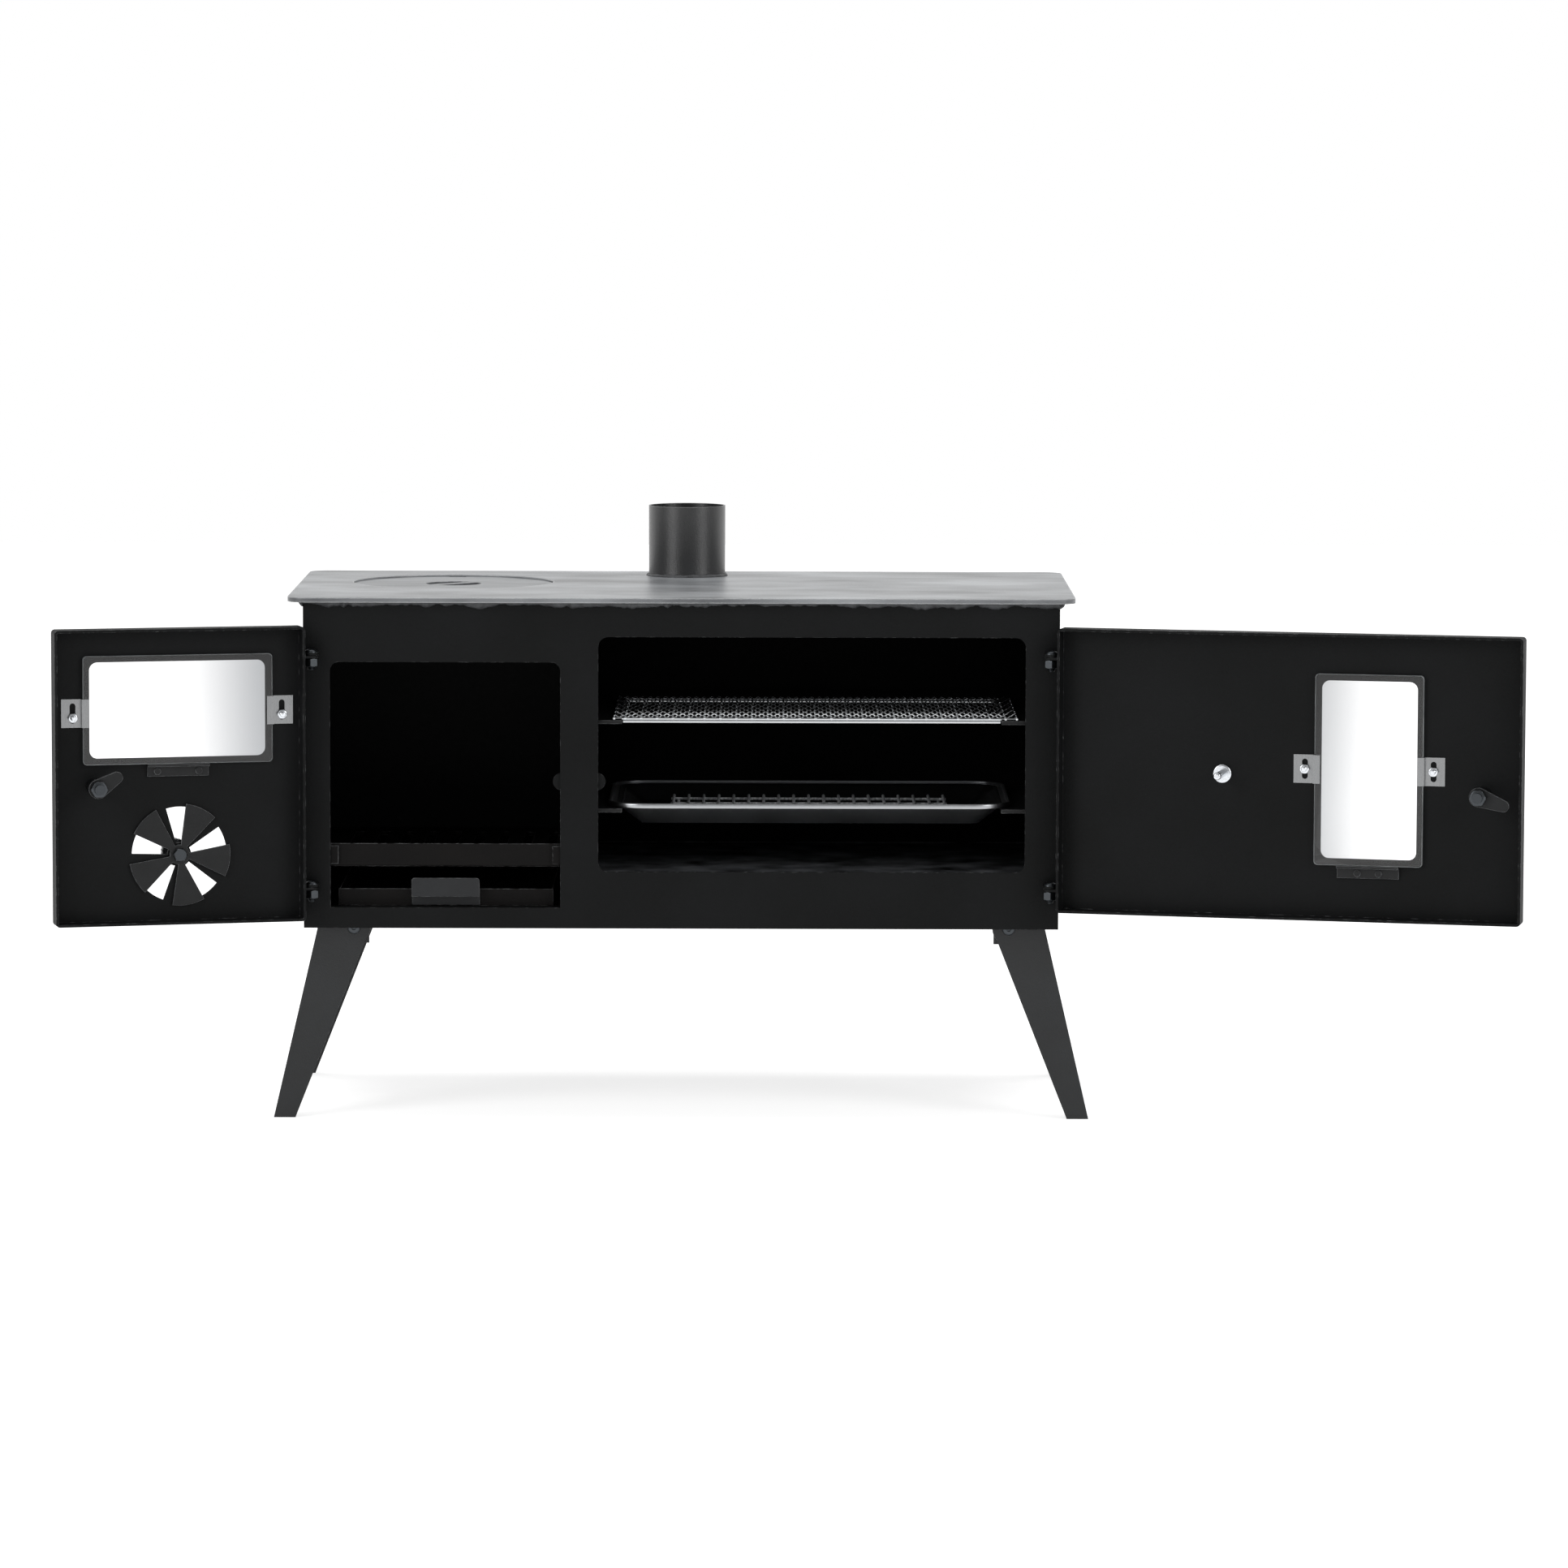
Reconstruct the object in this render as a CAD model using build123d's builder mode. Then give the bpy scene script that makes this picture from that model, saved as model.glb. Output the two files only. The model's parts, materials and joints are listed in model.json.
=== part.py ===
# Tent wood stove with an oven: a welded steel box on four folding legs, with a firebox on the left,
# an oven on the right, a hob plate with a lift-out cooking lid, and a flue collar.
# Every piece is drawn with both doors shut, X to the right, Y to the back, Z up from the floor,
# the face plate's front at Y = 0 and the body's middle at X = 0. The doors and what they carry are
# then swung open, as the stove is displayed, and the whole is centred on its footprint.
import os
from math import atan2, cos, degrees, radians, sin

from build123d import *

os.makedirs("parts", exist_ok=True)

# Body
BODY_WIDTH = 600.0
BODY_DEPTH = 300.0
BODY_HEIGHT = 260.0
BODY_BOTTOM = 155.0
SHEET = 2.0
FLOOR_LIFT = 14.5
MOVING_GAP = 0.3
RUNNING_FIT = 0.05

# Hob plate, its weld and the flue collar
PLATE_THICKNESS = 4.0
PLATE_SIDE_OVERHANG = 12.5
PLATE_FRONT_OVERHANG = 9.0
PLATE_REAR_OVERHANG = 6.0
PLATE_CORNER_RADIUS = 16.0
WELD_LEG = 4.0
COLLAR_X = 1.5
COLLAR_FROM_BACK = 42.0
COLLAR_BORE = 60.5
COLLAR_WALL = 1.3
COLLAR_HEIGHT = 58.0

# Cooking lid
LID_FROM_SIDE = 112.0
LID_FROM_BACK = 124.0
LID_HOLE_RADIUS = 81.5
LID_CLEARANCE = 0.7
LID_SINK = 1.5
LID_THICKNESS = 4.0
LID_LEDGE = 8.0
LID_RING_WIDTH = 18.0
LID_NOTCH = 14.0
LID_WELL_RADIUS = 22.5
LID_WELL_DEPTH = 12.0
LID_WELL_WALL = 1.5
LIFT_BAR_WIDTH = 9.0

# Openings in the face plate
FIREBOX_SIDE_MARGIN = 21.3
FIREBOX_WIDTH = 182.5
FIREBOX_TOP_MARGIN = 47.8
FIREBOX_CORNER = 7.0
POST_WIDTH = 30.2
OVEN_SIDE_MARGIN = 27.0
OVEN_TOP_MARGIN = 27.5
OVEN_ABOVE_FLOOR = 29.0
OVEN_CORNER = 8.0

# Oven box
OVEN_WALL = 1.5
OVEN_MARGIN = 10.0
SMOKE_PASSAGE = 76.0
RAIL_WIDTH = 28.5
RAIL_THICKNESS = 3.0
RAIL_LIP = 8.0
RAIL_FRONT = 8.0
RAIL_BACK_GAP = 6.0
UPPER_RAIL_HEIGHT = 120.0
LOWER_RAIL_HEIGHT = 49.3

# Racks and roasting tray
RACK_SIDE_GAP = 18.5
RACK_BACK_GAP = 20.5
RACK_FRONT = 12.0
RACK_SIDE_SHIFT = 3.0
RACK_WIRE = 3.0
RACK_CROSS_WIRE = 1.8
RACK_CROSS_PITCH = 12.6
RACK_WELD_SINK = 0.4
RACK_MESH = 1.2
TRAY_SIDE_SHIFT = -1.5
TRAY_SIDE_GAP = 19.0
TRAY_BACK_GAP = 15.5
TRAY_HEIGHT = 17.0
TRAY_FRONT = 9.0
TRAY_RIM = 8.5
TRAY_RIM_ROLL = 3.0
TRAY_CORNER = 30.0
TRAY_WALL = 1.0
TRAY_TAPER = 18.0
TRAY_RACK_SIDE_MARGIN = 48.5
TRAY_RACK_END_MARGIN = 33.0
TRAY_RACK_WIRE = 2.4
TRAY_RACK_PITCH = 12.2
TRAY_RACK_FOOT = 6.0

# Grate, log retainer and ash tray
GRATE_HEIGHT = 34.5
GRATE_THICKNESS = 3.0
GRATE_FRONT = 14.0
GRATE_BACK_GAP = 12.0
GRATE_SLOT_WIDTH = 8.0
GRATE_SLOT_PITCH = 20.0
GRATE_SLOT_LENGTH = 200.0
GRATE_SIDE_GAP = 1.0
LEDGE_SIZE = 12.0
LEDGE_THICKNESS = 2.0
RETAINER_ABOVE_FLOOR = 32.6
RETAINER_HEIGHT = 18.1
RETAINER_SETBACK = 5.0
ASH_SIDE_GAP = 5.75
ASH_FRONT = 12.0
ASH_BACK_GAP = 24.0
ASH_HEIGHT = 13.5
ASH_WALL = 1.2
ASH_HANDLE_WIDTH = 54.0
ASH_HANDLE_HEIGHT = 15.0
ASH_HANDLE_REACH = 9.0
ASH_HANDLE_RAISE = 8.0

# Doors
DOOR_DEPTH = 18.0
DOOR_SHEET = 2.0
DOOR_FACE_GAP = 0.5
DOOR_CORNER = 3.0
DOOR_TOP_MARGIN = 18.5
FIREBOX_DOOR_BOTTOM_MARGIN = 7.5
OVEN_DOOR_BOTTOM_MARGIN = 15.5
DOOR_SIDE_INSET = 13.2
FIREBOX_DOOR_WIDTH = 199.5
DOOR_MEETING_GAP = 4.3
FIREBOX_DOOR_OPEN = 165.5
OVEN_DOOR_OPEN = 166.3

# Hinges
HINGE_INSET = 7.0
HINGE_STANDOFF = 9.0
HINGE_BOLT_RADIUS = 3.0
HINGE_LUG_RADIUS = 5.6
HINGE_LUG_THICKNESS = 2.0
HINGE_NUT_FLATS = 10.0
HINGE_NUT_HEIGHT = 6.5
HINGE_TIP = 3.0
DOME_RADIUS = 5.2
DOME_HEIGHT = 3.2
UPPER_HINGE_DROP = 41.5
LOWER_HINGE_RISE = 34.0

# Door glass and its clips
GLASS_LENGTH = 151.0
GLASS_WIDTH = 86.0
GLASS_THICKNESS = 4.0
WINDOW_LENGTH = 140.5
WINDOW_WIDTH = 76.0
WINDOW_CORNER = 6.5
FIREBOX_GLASS_DROP = 64.5
OVEN_GLASS_FROM_EDGE = 122.5
OVEN_GLASS_DROP = 107.5
CLIP_LENGTH = 21.5
CLIP_HEIGHT = 22.5
CLIP_SHEET = 0.8
CLIP_LAP = 4.5
CLIP_SLOT_WIDTH = 4.6
CLIP_SLOT_LENGTH = 16.0
CLIP_BOLT_RADIUS = 2.0
CLIP_BOLT_OUT = 5.0
CLIP_BOLT_REACH = 9.0
CLIP_NUT_FLATS = 7.0
CLIP_NUT_HEIGHT = 3.2
FIREBOX_CLIP_DROP = 2.0
FIREBOX_BOLT_DROP = 3.5
LEDGE_LENGTH = 49.0
GLASS_LEDGE_DEPTH = 7.0
GLASS_LEDGE_DROP = 10.0
GLASS_LEDGE_SHEET = 2.0
RIVET_RADIUS = 2.6
RIVET_HEIGHT = 1.6
FIREBOX_RIVET_SPACING = 33.0
OVEN_RIVET_SPACING = 17.0

# Latches
LATCH_RISE = 117.2
LATCH_FROM_EDGE = 32.5
CATCH_LENGTH = 41.9
CATCH_HEIGHT = 13.5
CATCH_THICKNESS = 3.0
PAWL_GAP = 0.6
PAWL_THICKNESS = 3.0
PAWL_ROOT_RADIUS = 7.6
PAWL_TIP_RADIUS = 4.6
FIREBOX_PAWL_REACH = 17.2
FIREBOX_PAWL_ANGLE = 149.5
OVEN_PAWL_REACH = 20.4
OVEN_PAWL_ANGLE = 198.4
SPINDLE_RADIUS = 4.0
SPINDLE_SHOULDER = 6.0
SHOULDER_THICKNESS = 3.0
LATCH_NUT_FLATS = 12.0
LATCH_NUT_HEIGHT = 6.5
LATCH_TIP = 2.5
GRIP_LENGTH = 44.0
GRIP_RADIUS = 5.5
GRIP_STANDOFF = 22.0
GRIP_COLLAR_RADIUS = 8.0

# Air vent
VENT_SIDE_SHIFT = -1.0
VENT_FROM_DOOR_BOTTOM = 54.0
VENT_BLADES = 5
VENT_BLADE_DEGREES = 37.0
VENT_DISC_RADIUS = 40.5
VENT_HOLE_RADIUS = 38.0
VENT_HOLE_INNER = 9.5
VENT_HOLE_DEGREES = 36.0
VENT_DISC_SHEET = 2.0
VENT_DISC_ANGLE = 116.0
VENT_HOLE_ANGLE = 92.0
VENT_HUB_RADIUS = 8.0
VENT_BOLT_RADIUS = 3.0
VENT_HEAD_FLATS = 10.0
VENT_HEAD_HEIGHT = 4.0
VENT_KNOB_RADIUS = 11.0
VENT_KNOB_LENGTH = 26.0

# Oven thermometer
THERMO_FROM_HINGE_EDGE = 130.5
THERMO_STEM_RADIUS = 3.0
THERMO_STEM_LENGTH = 26.0
THERMO_NUT_RADIUS = 7.6
THERMO_NUT_HEIGHT = 3.0
THERMO_CASE_RADIUS = 27.0
THERMO_CASE_DEPTH = 10.0
THERMO_CASE_WALL = 1.2
THERMO_DIAL_THICKNESS = 0.8
THERMO_LENS_THICKNESS = 1.2
NEEDLE_LENGTH = 19.0
NEEDLE_TAIL = 6.0
NEEDLE_WIDTH = 2.0
NEEDLE_THICKNESS = 0.5
NEEDLE_COLD_ANGLE = 225.0

# Legs
LEG_SHEET = 2.0
LEG_SETBACK = 20.0
LEG_TOP_INSET = 12.5
LEG_SPLAY = 25.9
LEG_FOOT_WIDTH = 17.3
LEG_RISE_PAST_BOLT = 12.0
LEG_BOLT_INSET = 38.7
LEG_BOLT_DROP = 2.0
LEG_TOP_ROUND = 13.0
LEG_FLANGE_TOP = 32.0
LEG_FLANGE_FOOT = 17.0
LEG_BOLT_RADIUS = 3.0
LEG_BOLT_HEAD = 5.2
LEG_HEAD_HEIGHT = 3.2
LEG_SOCKET_RADIUS = 2.0
LEG_SOCKET_DEPTH = 1.8
LEG_NUT_FLATS = 10.0
LEG_NUT_HEIGHT = 5.0
LEG_BOLT_SPARE = 2.0
BRACKET_SHEET = 3.0
BRACKET_WIDTH = 24.0
BRACKET_BELOW_BOLT = 12.5
BRACKET_FOOT = 14.0

# Heights, walls and places that follow from the sizes above
BODY_TOP = BODY_BOTTOM + BODY_HEIGHT
PLATE_TOP = BODY_TOP + PLATE_THICKNESS
FLOOR_UNDER = BODY_BOTTOM + FLOOR_LIFT
FLOOR_TOP = FLOOR_UNDER + SHEET
HALF_WIDTH = BODY_WIDTH / 2
PLATE_WIDTH = BODY_WIDTH + 2 * PLATE_SIDE_OVERHANG
PLATE_DEPTH = BODY_DEPTH + PLATE_FRONT_OVERHANG + PLATE_REAR_OVERHANG
PLATE_MIDDLE_Y = BODY_DEPTH / 2 + (PLATE_REAR_OVERHANG - PLATE_FRONT_OVERHANG) / 2
COLLAR_Y = BODY_DEPTH - COLLAR_FROM_BACK
COLLAR_RADIUS = COLLAR_BORE / 2 + COLLAR_WALL
LID_X = -HALF_WIDTH + LID_FROM_SIDE
LID_Y = BODY_DEPTH - LID_FROM_BACK
LID_TOP = PLATE_TOP - LID_SINK
FIREBOX_LEFT = -HALF_WIDTH + FIREBOX_SIDE_MARGIN
FIREBOX_RIGHT = FIREBOX_LEFT + FIREBOX_WIDTH
FIREBOX_MIDDLE = FIREBOX_LEFT + FIREBOX_WIDTH / 2
FIREBOX_OPENING_TOP = BODY_TOP - FIREBOX_TOP_MARGIN
FIREBOX_OPENING_HEIGHT = FIREBOX_OPENING_TOP - FLOOR_TOP
OVEN_LEFT = FIREBOX_RIGHT + POST_WIDTH
OVEN_RIGHT = HALF_WIDTH - OVEN_SIDE_MARGIN
OVEN_WIDTH = OVEN_RIGHT - OVEN_LEFT
OVEN_MIDDLE = OVEN_LEFT + OVEN_WIDTH / 2
OVEN_SILL = FLOOR_TOP + OVEN_ABOVE_FLOOR
OVEN_HEIGHT = BODY_TOP - OVEN_TOP_MARGIN - OVEN_SILL
OVEN_INNER_WIDTH = OVEN_WIDTH + 2 * OVEN_MARGIN
OVEN_DEPTH = BODY_DEPTH - 2 * SHEET - SMOKE_PASSAGE
OVEN_INNER_BACK = SHEET + OVEN_DEPTH - OVEN_WALL
UPPER_RAIL_TOP = OVEN_SILL + UPPER_RAIL_HEIGHT
LOWER_RAIL_TOP = OVEN_SILL + LOWER_RAIL_HEIGHT
RACK_WIDTH = OVEN_INNER_WIDTH - 2 * RACK_SIDE_GAP
RACK_DEPTH = OVEN_INNER_BACK - RACK_BACK_GAP - RACK_FRONT
TRAY_WIDTH = OVEN_INNER_WIDTH - 2 * TRAY_SIDE_GAP
TRAY_DEPTH = OVEN_INNER_BACK - TRAY_BACK_GAP - TRAY_FRONT
TRAY_RACK_WIDTH = TRAY_WIDTH - 2 * TRAY_RACK_SIDE_MARGIN
TRAY_RACK_DEPTH = TRAY_DEPTH - 2 * TRAY_RACK_END_MARGIN
GRATE_TOP = FLOOR_TOP + GRATE_HEIGHT
RETAINER_BOTTOM = FLOOR_TOP + RETAINER_ABOVE_FLOOR
ASH_WIDTH = FIREBOX_WIDTH - 2 * ASH_SIDE_GAP
ASH_DEPTH = BODY_DEPTH - SHEET - ASH_BACK_GAP - ASH_FRONT
PARTITION_LEFT = OVEN_LEFT - OVEN_MARGIN - OVEN_WALL
HINGE_X = HALF_WIDTH - HINGE_INSET
HINGE_Y = -HINGE_STANDOFF
DOOR_BACK = -DOOR_FACE_GAP
DOOR_FRONT = DOOR_BACK - DOOR_DEPTH
DOOR_INSIDE = DOOR_FRONT + DOOR_SHEET
DOOR_TOP = BODY_TOP - DOOR_TOP_MARGIN
FIREBOX_DOOR_BOTTOM = BODY_BOTTOM + FIREBOX_DOOR_BOTTOM_MARGIN
OVEN_DOOR_BOTTOM = BODY_BOTTOM + OVEN_DOOR_BOTTOM_MARGIN
UPPER_HINGE_Z = BODY_TOP - UPPER_HINGE_DROP
LOWER_HINGE_Z = BODY_BOTTOM + LOWER_HINGE_RISE
FIREBOX_GLASS_Z = DOOR_TOP - FIREBOX_GLASS_DROP
OVEN_GLASS_Z = DOOR_TOP - OVEN_GLASS_DROP
LATCH_Z = BODY_BOTTOM + LATCH_RISE
FIREBOX_DOOR_LEFT = -HALF_WIDTH + DOOR_SIDE_INSET
FIREBOX_DOOR_RIGHT = FIREBOX_DOOR_LEFT + FIREBOX_DOOR_WIDTH
FIREBOX_DOOR_MIDDLE = FIREBOX_DOOR_LEFT + FIREBOX_DOOR_WIDTH / 2
OVEN_DOOR_LEFT = FIREBOX_DOOR_RIGHT + DOOR_MEETING_GAP
OVEN_DOOR_RIGHT = HALF_WIDTH - DOOR_SIDE_INSET
CATCH_X = FIREBOX_RIGHT + POST_WIDTH / 2
PAWL_FRONT = SHEET + CATCH_THICKNESS + PAWL_GAP
PAWL_BACK = PAWL_FRONT + PAWL_THICKNESS
FIREBOX_LATCH_X = FIREBOX_DOOR_RIGHT - LATCH_FROM_EDGE
OVEN_LATCH_X = OVEN_DOOR_LEFT + LATCH_FROM_EDGE
VENT_X = FIREBOX_DOOR_MIDDLE + VENT_SIDE_SHIFT
VENT_Z = FIREBOX_DOOR_BOTTOM + VENT_FROM_DOOR_BOTTOM
THERMO_X = OVEN_DOOR_RIGHT - THERMO_FROM_HINGE_EDGE
THERMO_Z = (DOOR_TOP + OVEN_DOOR_BOTTOM) / 2
OVEN_GLASS_X = OVEN_DOOR_LEFT + OVEN_GLASS_FROM_EDGE
LEG_FACE_Y = LEG_SETBACK
LEG_BOLT_X = HALF_WIDTH - LEG_BOLT_INSET
LEG_BOLT_Z = BODY_BOTTOM - LEG_BOLT_DROP
LEG_TOP_OUTER = HALF_WIDTH - LEG_TOP_INSET
LEG_FOOT_OUTER = HALF_WIDTH + LEG_SPLAY
BRACKET_Y = LEG_FACE_Y + LEG_SHEET + MOVING_GAP
RACK_X = OVEN_MIDDLE + RACK_SIDE_SHIFT
TRAY_X = OVEN_MIDDLE + TRAY_SIDE_SHIFT

pieces = {}


def front_plane(depth):
    """A plane facing the front at the given depth: sketch X is X, sketch Y is Z."""
    return Plane(origin=(0, depth, 0), x_dir=(1, 0, 0), z_dir=(0, -1, 0))


def keep(name, builder):
    """Label a finished piece and list it."""
    builder.part.label = name
    pieces[name] = builder.part


def disc(x, z, y, radius, thickness):
    """A round slab facing the front, from depth y back by its thickness."""
    with BuildSketch(front_plane(y)) as round_face:
        with Locations((x, z)):
            Circle(radius)
    extrude(round_face.sketch, amount=-thickness)


def hexagon(x, z, y, flats, thickness):
    """A hexagon nut or head facing the front, from depth y back by its thickness."""
    with BuildSketch(front_plane(y)) as hex_face:
        with Locations((x, z)):
            RegularPolygon(flats / 2, 6, major_radius=False)
    extrude(hex_face.sketch, amount=-thickness)


def upright_rod(x, y, z, radius, height):
    """A vertical round rod from height z up."""
    with BuildSketch(Plane.XY.offset(z)) as rod_face:
        with Locations((x, y)):
            Circle(radius)
    extrude(rod_face.sketch, amount=height)


# Body shell: one sheet bent round the left side, the back and the right side
with BuildPart() as body_shell:
    with BuildSketch(Plane.XY.offset(BODY_BOTTOM)):
        with Locations((0, (SHEET + BODY_DEPTH) / 2)):
            Rectangle(BODY_WIDTH, BODY_DEPTH - SHEET)
        with Locations((0, BODY_DEPTH / 2)):
            Rectangle(BODY_WIDTH - 2 * SHEET, BODY_DEPTH - 2 * SHEET, mode=Mode.SUBTRACT)
    extrude(amount=BODY_HEIGHT)
keep("body_shell", body_shell)

# Face plate: the front sheet with the firebox and oven openings
with BuildPart() as face_plate:
    with BuildSketch(front_plane(SHEET)):
        with Locations((0, BODY_BOTTOM + BODY_HEIGHT / 2)):
            Rectangle(BODY_WIDTH, BODY_HEIGHT)
        with Locations((FIREBOX_MIDDLE, FLOOR_TOP + FIREBOX_OPENING_HEIGHT / 2)):
            Rectangle(FIREBOX_WIDTH, FIREBOX_OPENING_HEIGHT, mode=Mode.SUBTRACT)
        with Locations((OVEN_MIDDLE, OVEN_SILL + OVEN_HEIGHT / 2)):
            RectangleRounded(OVEN_WIDTH, OVEN_HEIGHT, OVEN_CORNER, mode=Mode.SUBTRACT)
    extrude(amount=SHEET)
    top_corners = [
        edge for edge in face_plate.edges().filter_by(Axis.Y)
        if abs(edge.center().Z - FIREBOX_OPENING_TOP) < SHEET and edge.center().X < OVEN_LEFT
    ]
    fillet(top_corners, FIREBOX_CORNER)
keep("face_plate", face_plate)

# Floor plate: welded in above the skirt, with the ash tray sliding on it
with BuildPart() as floor_plate:
    with BuildSketch(Plane.XY.offset(FLOOR_UNDER)):
        with Locations((0, BODY_DEPTH / 2)):
            Rectangle(BODY_WIDTH - 2 * SHEET, BODY_DEPTH - 2 * SHEET)
    extrude(amount=SHEET)
keep("floor_plate", floor_plate)

# Hob plate with the lid hole and the flue hole
with BuildPart() as top_plate:
    with BuildSketch(Plane.XY.offset(BODY_TOP)):
        with Locations((0, PLATE_MIDDLE_Y)):
            RectangleRounded(PLATE_WIDTH, PLATE_DEPTH, PLATE_CORNER_RADIUS)
        with Locations((LID_X, LID_Y)):
            Circle(LID_HOLE_RADIUS, mode=Mode.SUBTRACT)
        with Locations((COLLAR_X, COLLAR_Y)):
            Circle(COLLAR_BORE / 2, mode=Mode.SUBTRACT)
    extrude(amount=PLATE_THICKNESS)
keep("top_plate", top_plate)

# Weld bead that joins the hob plate to the outside of the body, all round
with BuildPart() as top_weld:
    with BuildSketch(Plane.XY.offset(BODY_TOP)):
        with Locations((0, BODY_DEPTH / 2)):
            Rectangle(BODY_WIDTH + 2 * WELD_LEG, BODY_DEPTH + 2 * WELD_LEG)
    extrude(amount=-WELD_LEG, taper=45)
    with BuildSketch(Plane.XY.offset(BODY_TOP)):
        with Locations((0, BODY_DEPTH / 2)):
            Rectangle(BODY_WIDTH, BODY_DEPTH)
    extrude(amount=-WELD_LEG, mode=Mode.SUBTRACT)
keep("top_weld", top_weld)

# Flue collar: the tube that the chimney pipe slips over or into
with BuildPart() as flue_collar:
    with BuildSketch(Plane.XY.offset(PLATE_TOP)):
        with Locations((COLLAR_X, COLLAR_Y)):
            Circle(COLLAR_RADIUS)
            Circle(COLLAR_BORE / 2, mode=Mode.SUBTRACT)
    extrude(amount=COLLAR_HEIGHT)
keep("flue_collar", flue_collar)

# Ring under the hob plate that carries the cooking lid
lid_radius = LID_HOLE_RADIUS - LID_CLEARANCE
lid_under = LID_TOP - LID_THICKNESS
with BuildPart() as lid_ring:
    with BuildSketch(Plane.XY.offset(BODY_TOP)):
        with Locations((LID_X, LID_Y)):
            Circle(LID_HOLE_RADIUS - LID_LEDGE + LID_RING_WIDTH)
            Circle(LID_HOLE_RADIUS - LID_LEDGE, mode=Mode.SUBTRACT)
    extrude(amount=-SHEET - LID_SINK)
    with BuildSketch(Plane.XY.offset(BODY_TOP)):
        with Locations((LID_X, LID_Y)):
            Circle(LID_HOLE_RADIUS)
    extrude(amount=-LID_SINK - MOVING_GAP, mode=Mode.SUBTRACT)
keep("lid_ring", lid_ring)

# Cooking lid: a disc with a finger hole, a lifting bar left across it and a notch at the back
with BuildPart() as cooking_lid:
    with BuildSketch(Plane.XY.offset(lid_under)):
        with Locations((LID_X, LID_Y)):
            Circle(lid_radius)
            Circle(LID_WELL_RADIUS, mode=Mode.SUBTRACT)
            Rectangle(2 * LID_WELL_RADIUS + 2 * LIFT_BAR_WIDTH, LIFT_BAR_WIDTH, rotation=45)
        with Locations((LID_X, LID_Y + lid_radius)):
            Rectangle(LID_NOTCH, LID_NOTCH, mode=Mode.SUBTRACT)
    extrude(amount=LID_THICKNESS)
keep("cooking_lid", cooking_lid)

# Cup under the finger hole, so that no smoke comes up through it
with BuildPart() as lid_well:
    with BuildSketch(Plane.XY.offset(lid_under)):
        with Locations((LID_X, LID_Y)):
            Circle(LID_WELL_RADIUS + LID_WELL_WALL)
    extrude(amount=-LID_WELL_DEPTH)
    with BuildSketch(Plane.XY.offset(lid_under)):
        with Locations((LID_X, LID_Y)):
            Circle(LID_WELL_RADIUS)
    extrude(amount=-LID_WELL_DEPTH + LID_WELL_WALL, mode=Mode.SUBTRACT)
keep("lid_well", lid_well)

# Oven box: five welded walls that keep the smoke out of the oven, open at the front
with BuildPart() as oven_box:
    oven_mid_z = OVEN_SILL + OVEN_HEIGHT / 2
    with BuildSketch(front_plane(SHEET)):
        with Locations((OVEN_MIDDLE, oven_mid_z)):
            Rectangle(OVEN_INNER_WIDTH + 2 * OVEN_WALL, OVEN_HEIGHT + 2 * OVEN_WALL)
    extrude(amount=-OVEN_DEPTH)
    with BuildSketch(front_plane(SHEET)):
        with Locations((OVEN_MIDDLE, oven_mid_z)):
            Rectangle(OVEN_INNER_WIDTH, OVEN_HEIGHT)
    extrude(amount=-OVEN_DEPTH + OVEN_WALL, mode=Mode.SUBTRACT)
    with BuildSketch(front_plane(SHEET)):
        with Locations((CATCH_X, LATCH_Z)):
            SlotOverall(CATCH_LENGTH, CATCH_HEIGHT)
    extrude(amount=-CATCH_THICKNESS, mode=Mode.SUBTRACT)
keep("oven_box", oven_box)

# Four angle rails on the oven's side walls
rail_length = OVEN_DEPTH - RAIL_FRONT - RAIL_BACK_GAP
with BuildPart() as rack_rails:
    for side in (-1, 1):
        wall_x = OVEN_MIDDLE + side * OVEN_INNER_WIDTH / 2
        for rail_top in (UPPER_RAIL_TOP, LOWER_RAIL_TOP):
            with BuildSketch(front_plane(SHEET + RAIL_FRONT)):
                with Locations((wall_x - side * RAIL_WIDTH / 2, rail_top - RAIL_THICKNESS / 2)):
                    Rectangle(RAIL_WIDTH, RAIL_THICKNESS)
                with Locations((wall_x - side * RAIL_THICKNESS / 2, rail_top - RAIL_LIP / 2)):
                    Rectangle(RAIL_THICKNESS, RAIL_LIP)
            extrude(amount=-rail_length)
keep("rack_rails", rack_rails)

# Firebox grate: a slotted plate between the left wall and the oven box
grate_left = -HALF_WIDTH + SHEET + GRATE_SIDE_GAP
grate_right = PARTITION_LEFT - GRATE_SIDE_GAP
grate_width = grate_right - grate_left
grate_depth = BODY_DEPTH - SHEET - GRATE_BACK_GAP - GRATE_FRONT
grate_mid_x = (grate_left + grate_right) / 2
grate_mid_y = GRATE_FRONT + grate_depth / 2
slot_count = int((grate_width - 2 * LEDGE_SIZE) // GRATE_SLOT_PITCH)
with BuildPart() as fire_grate:
    with BuildSketch(Plane.XY.offset(GRATE_TOP - GRATE_THICKNESS)):
        with Locations((grate_mid_x, grate_mid_y)):
            Rectangle(grate_width, grate_depth)
            with GridLocations(GRATE_SLOT_PITCH, 1, slot_count, 1):
                SlotOverall(GRATE_SLOT_LENGTH, GRATE_SLOT_WIDTH, rotation=90, mode=Mode.SUBTRACT)
    extrude(amount=GRATE_THICKNESS)
keep("fire_grate", fire_grate)

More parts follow.
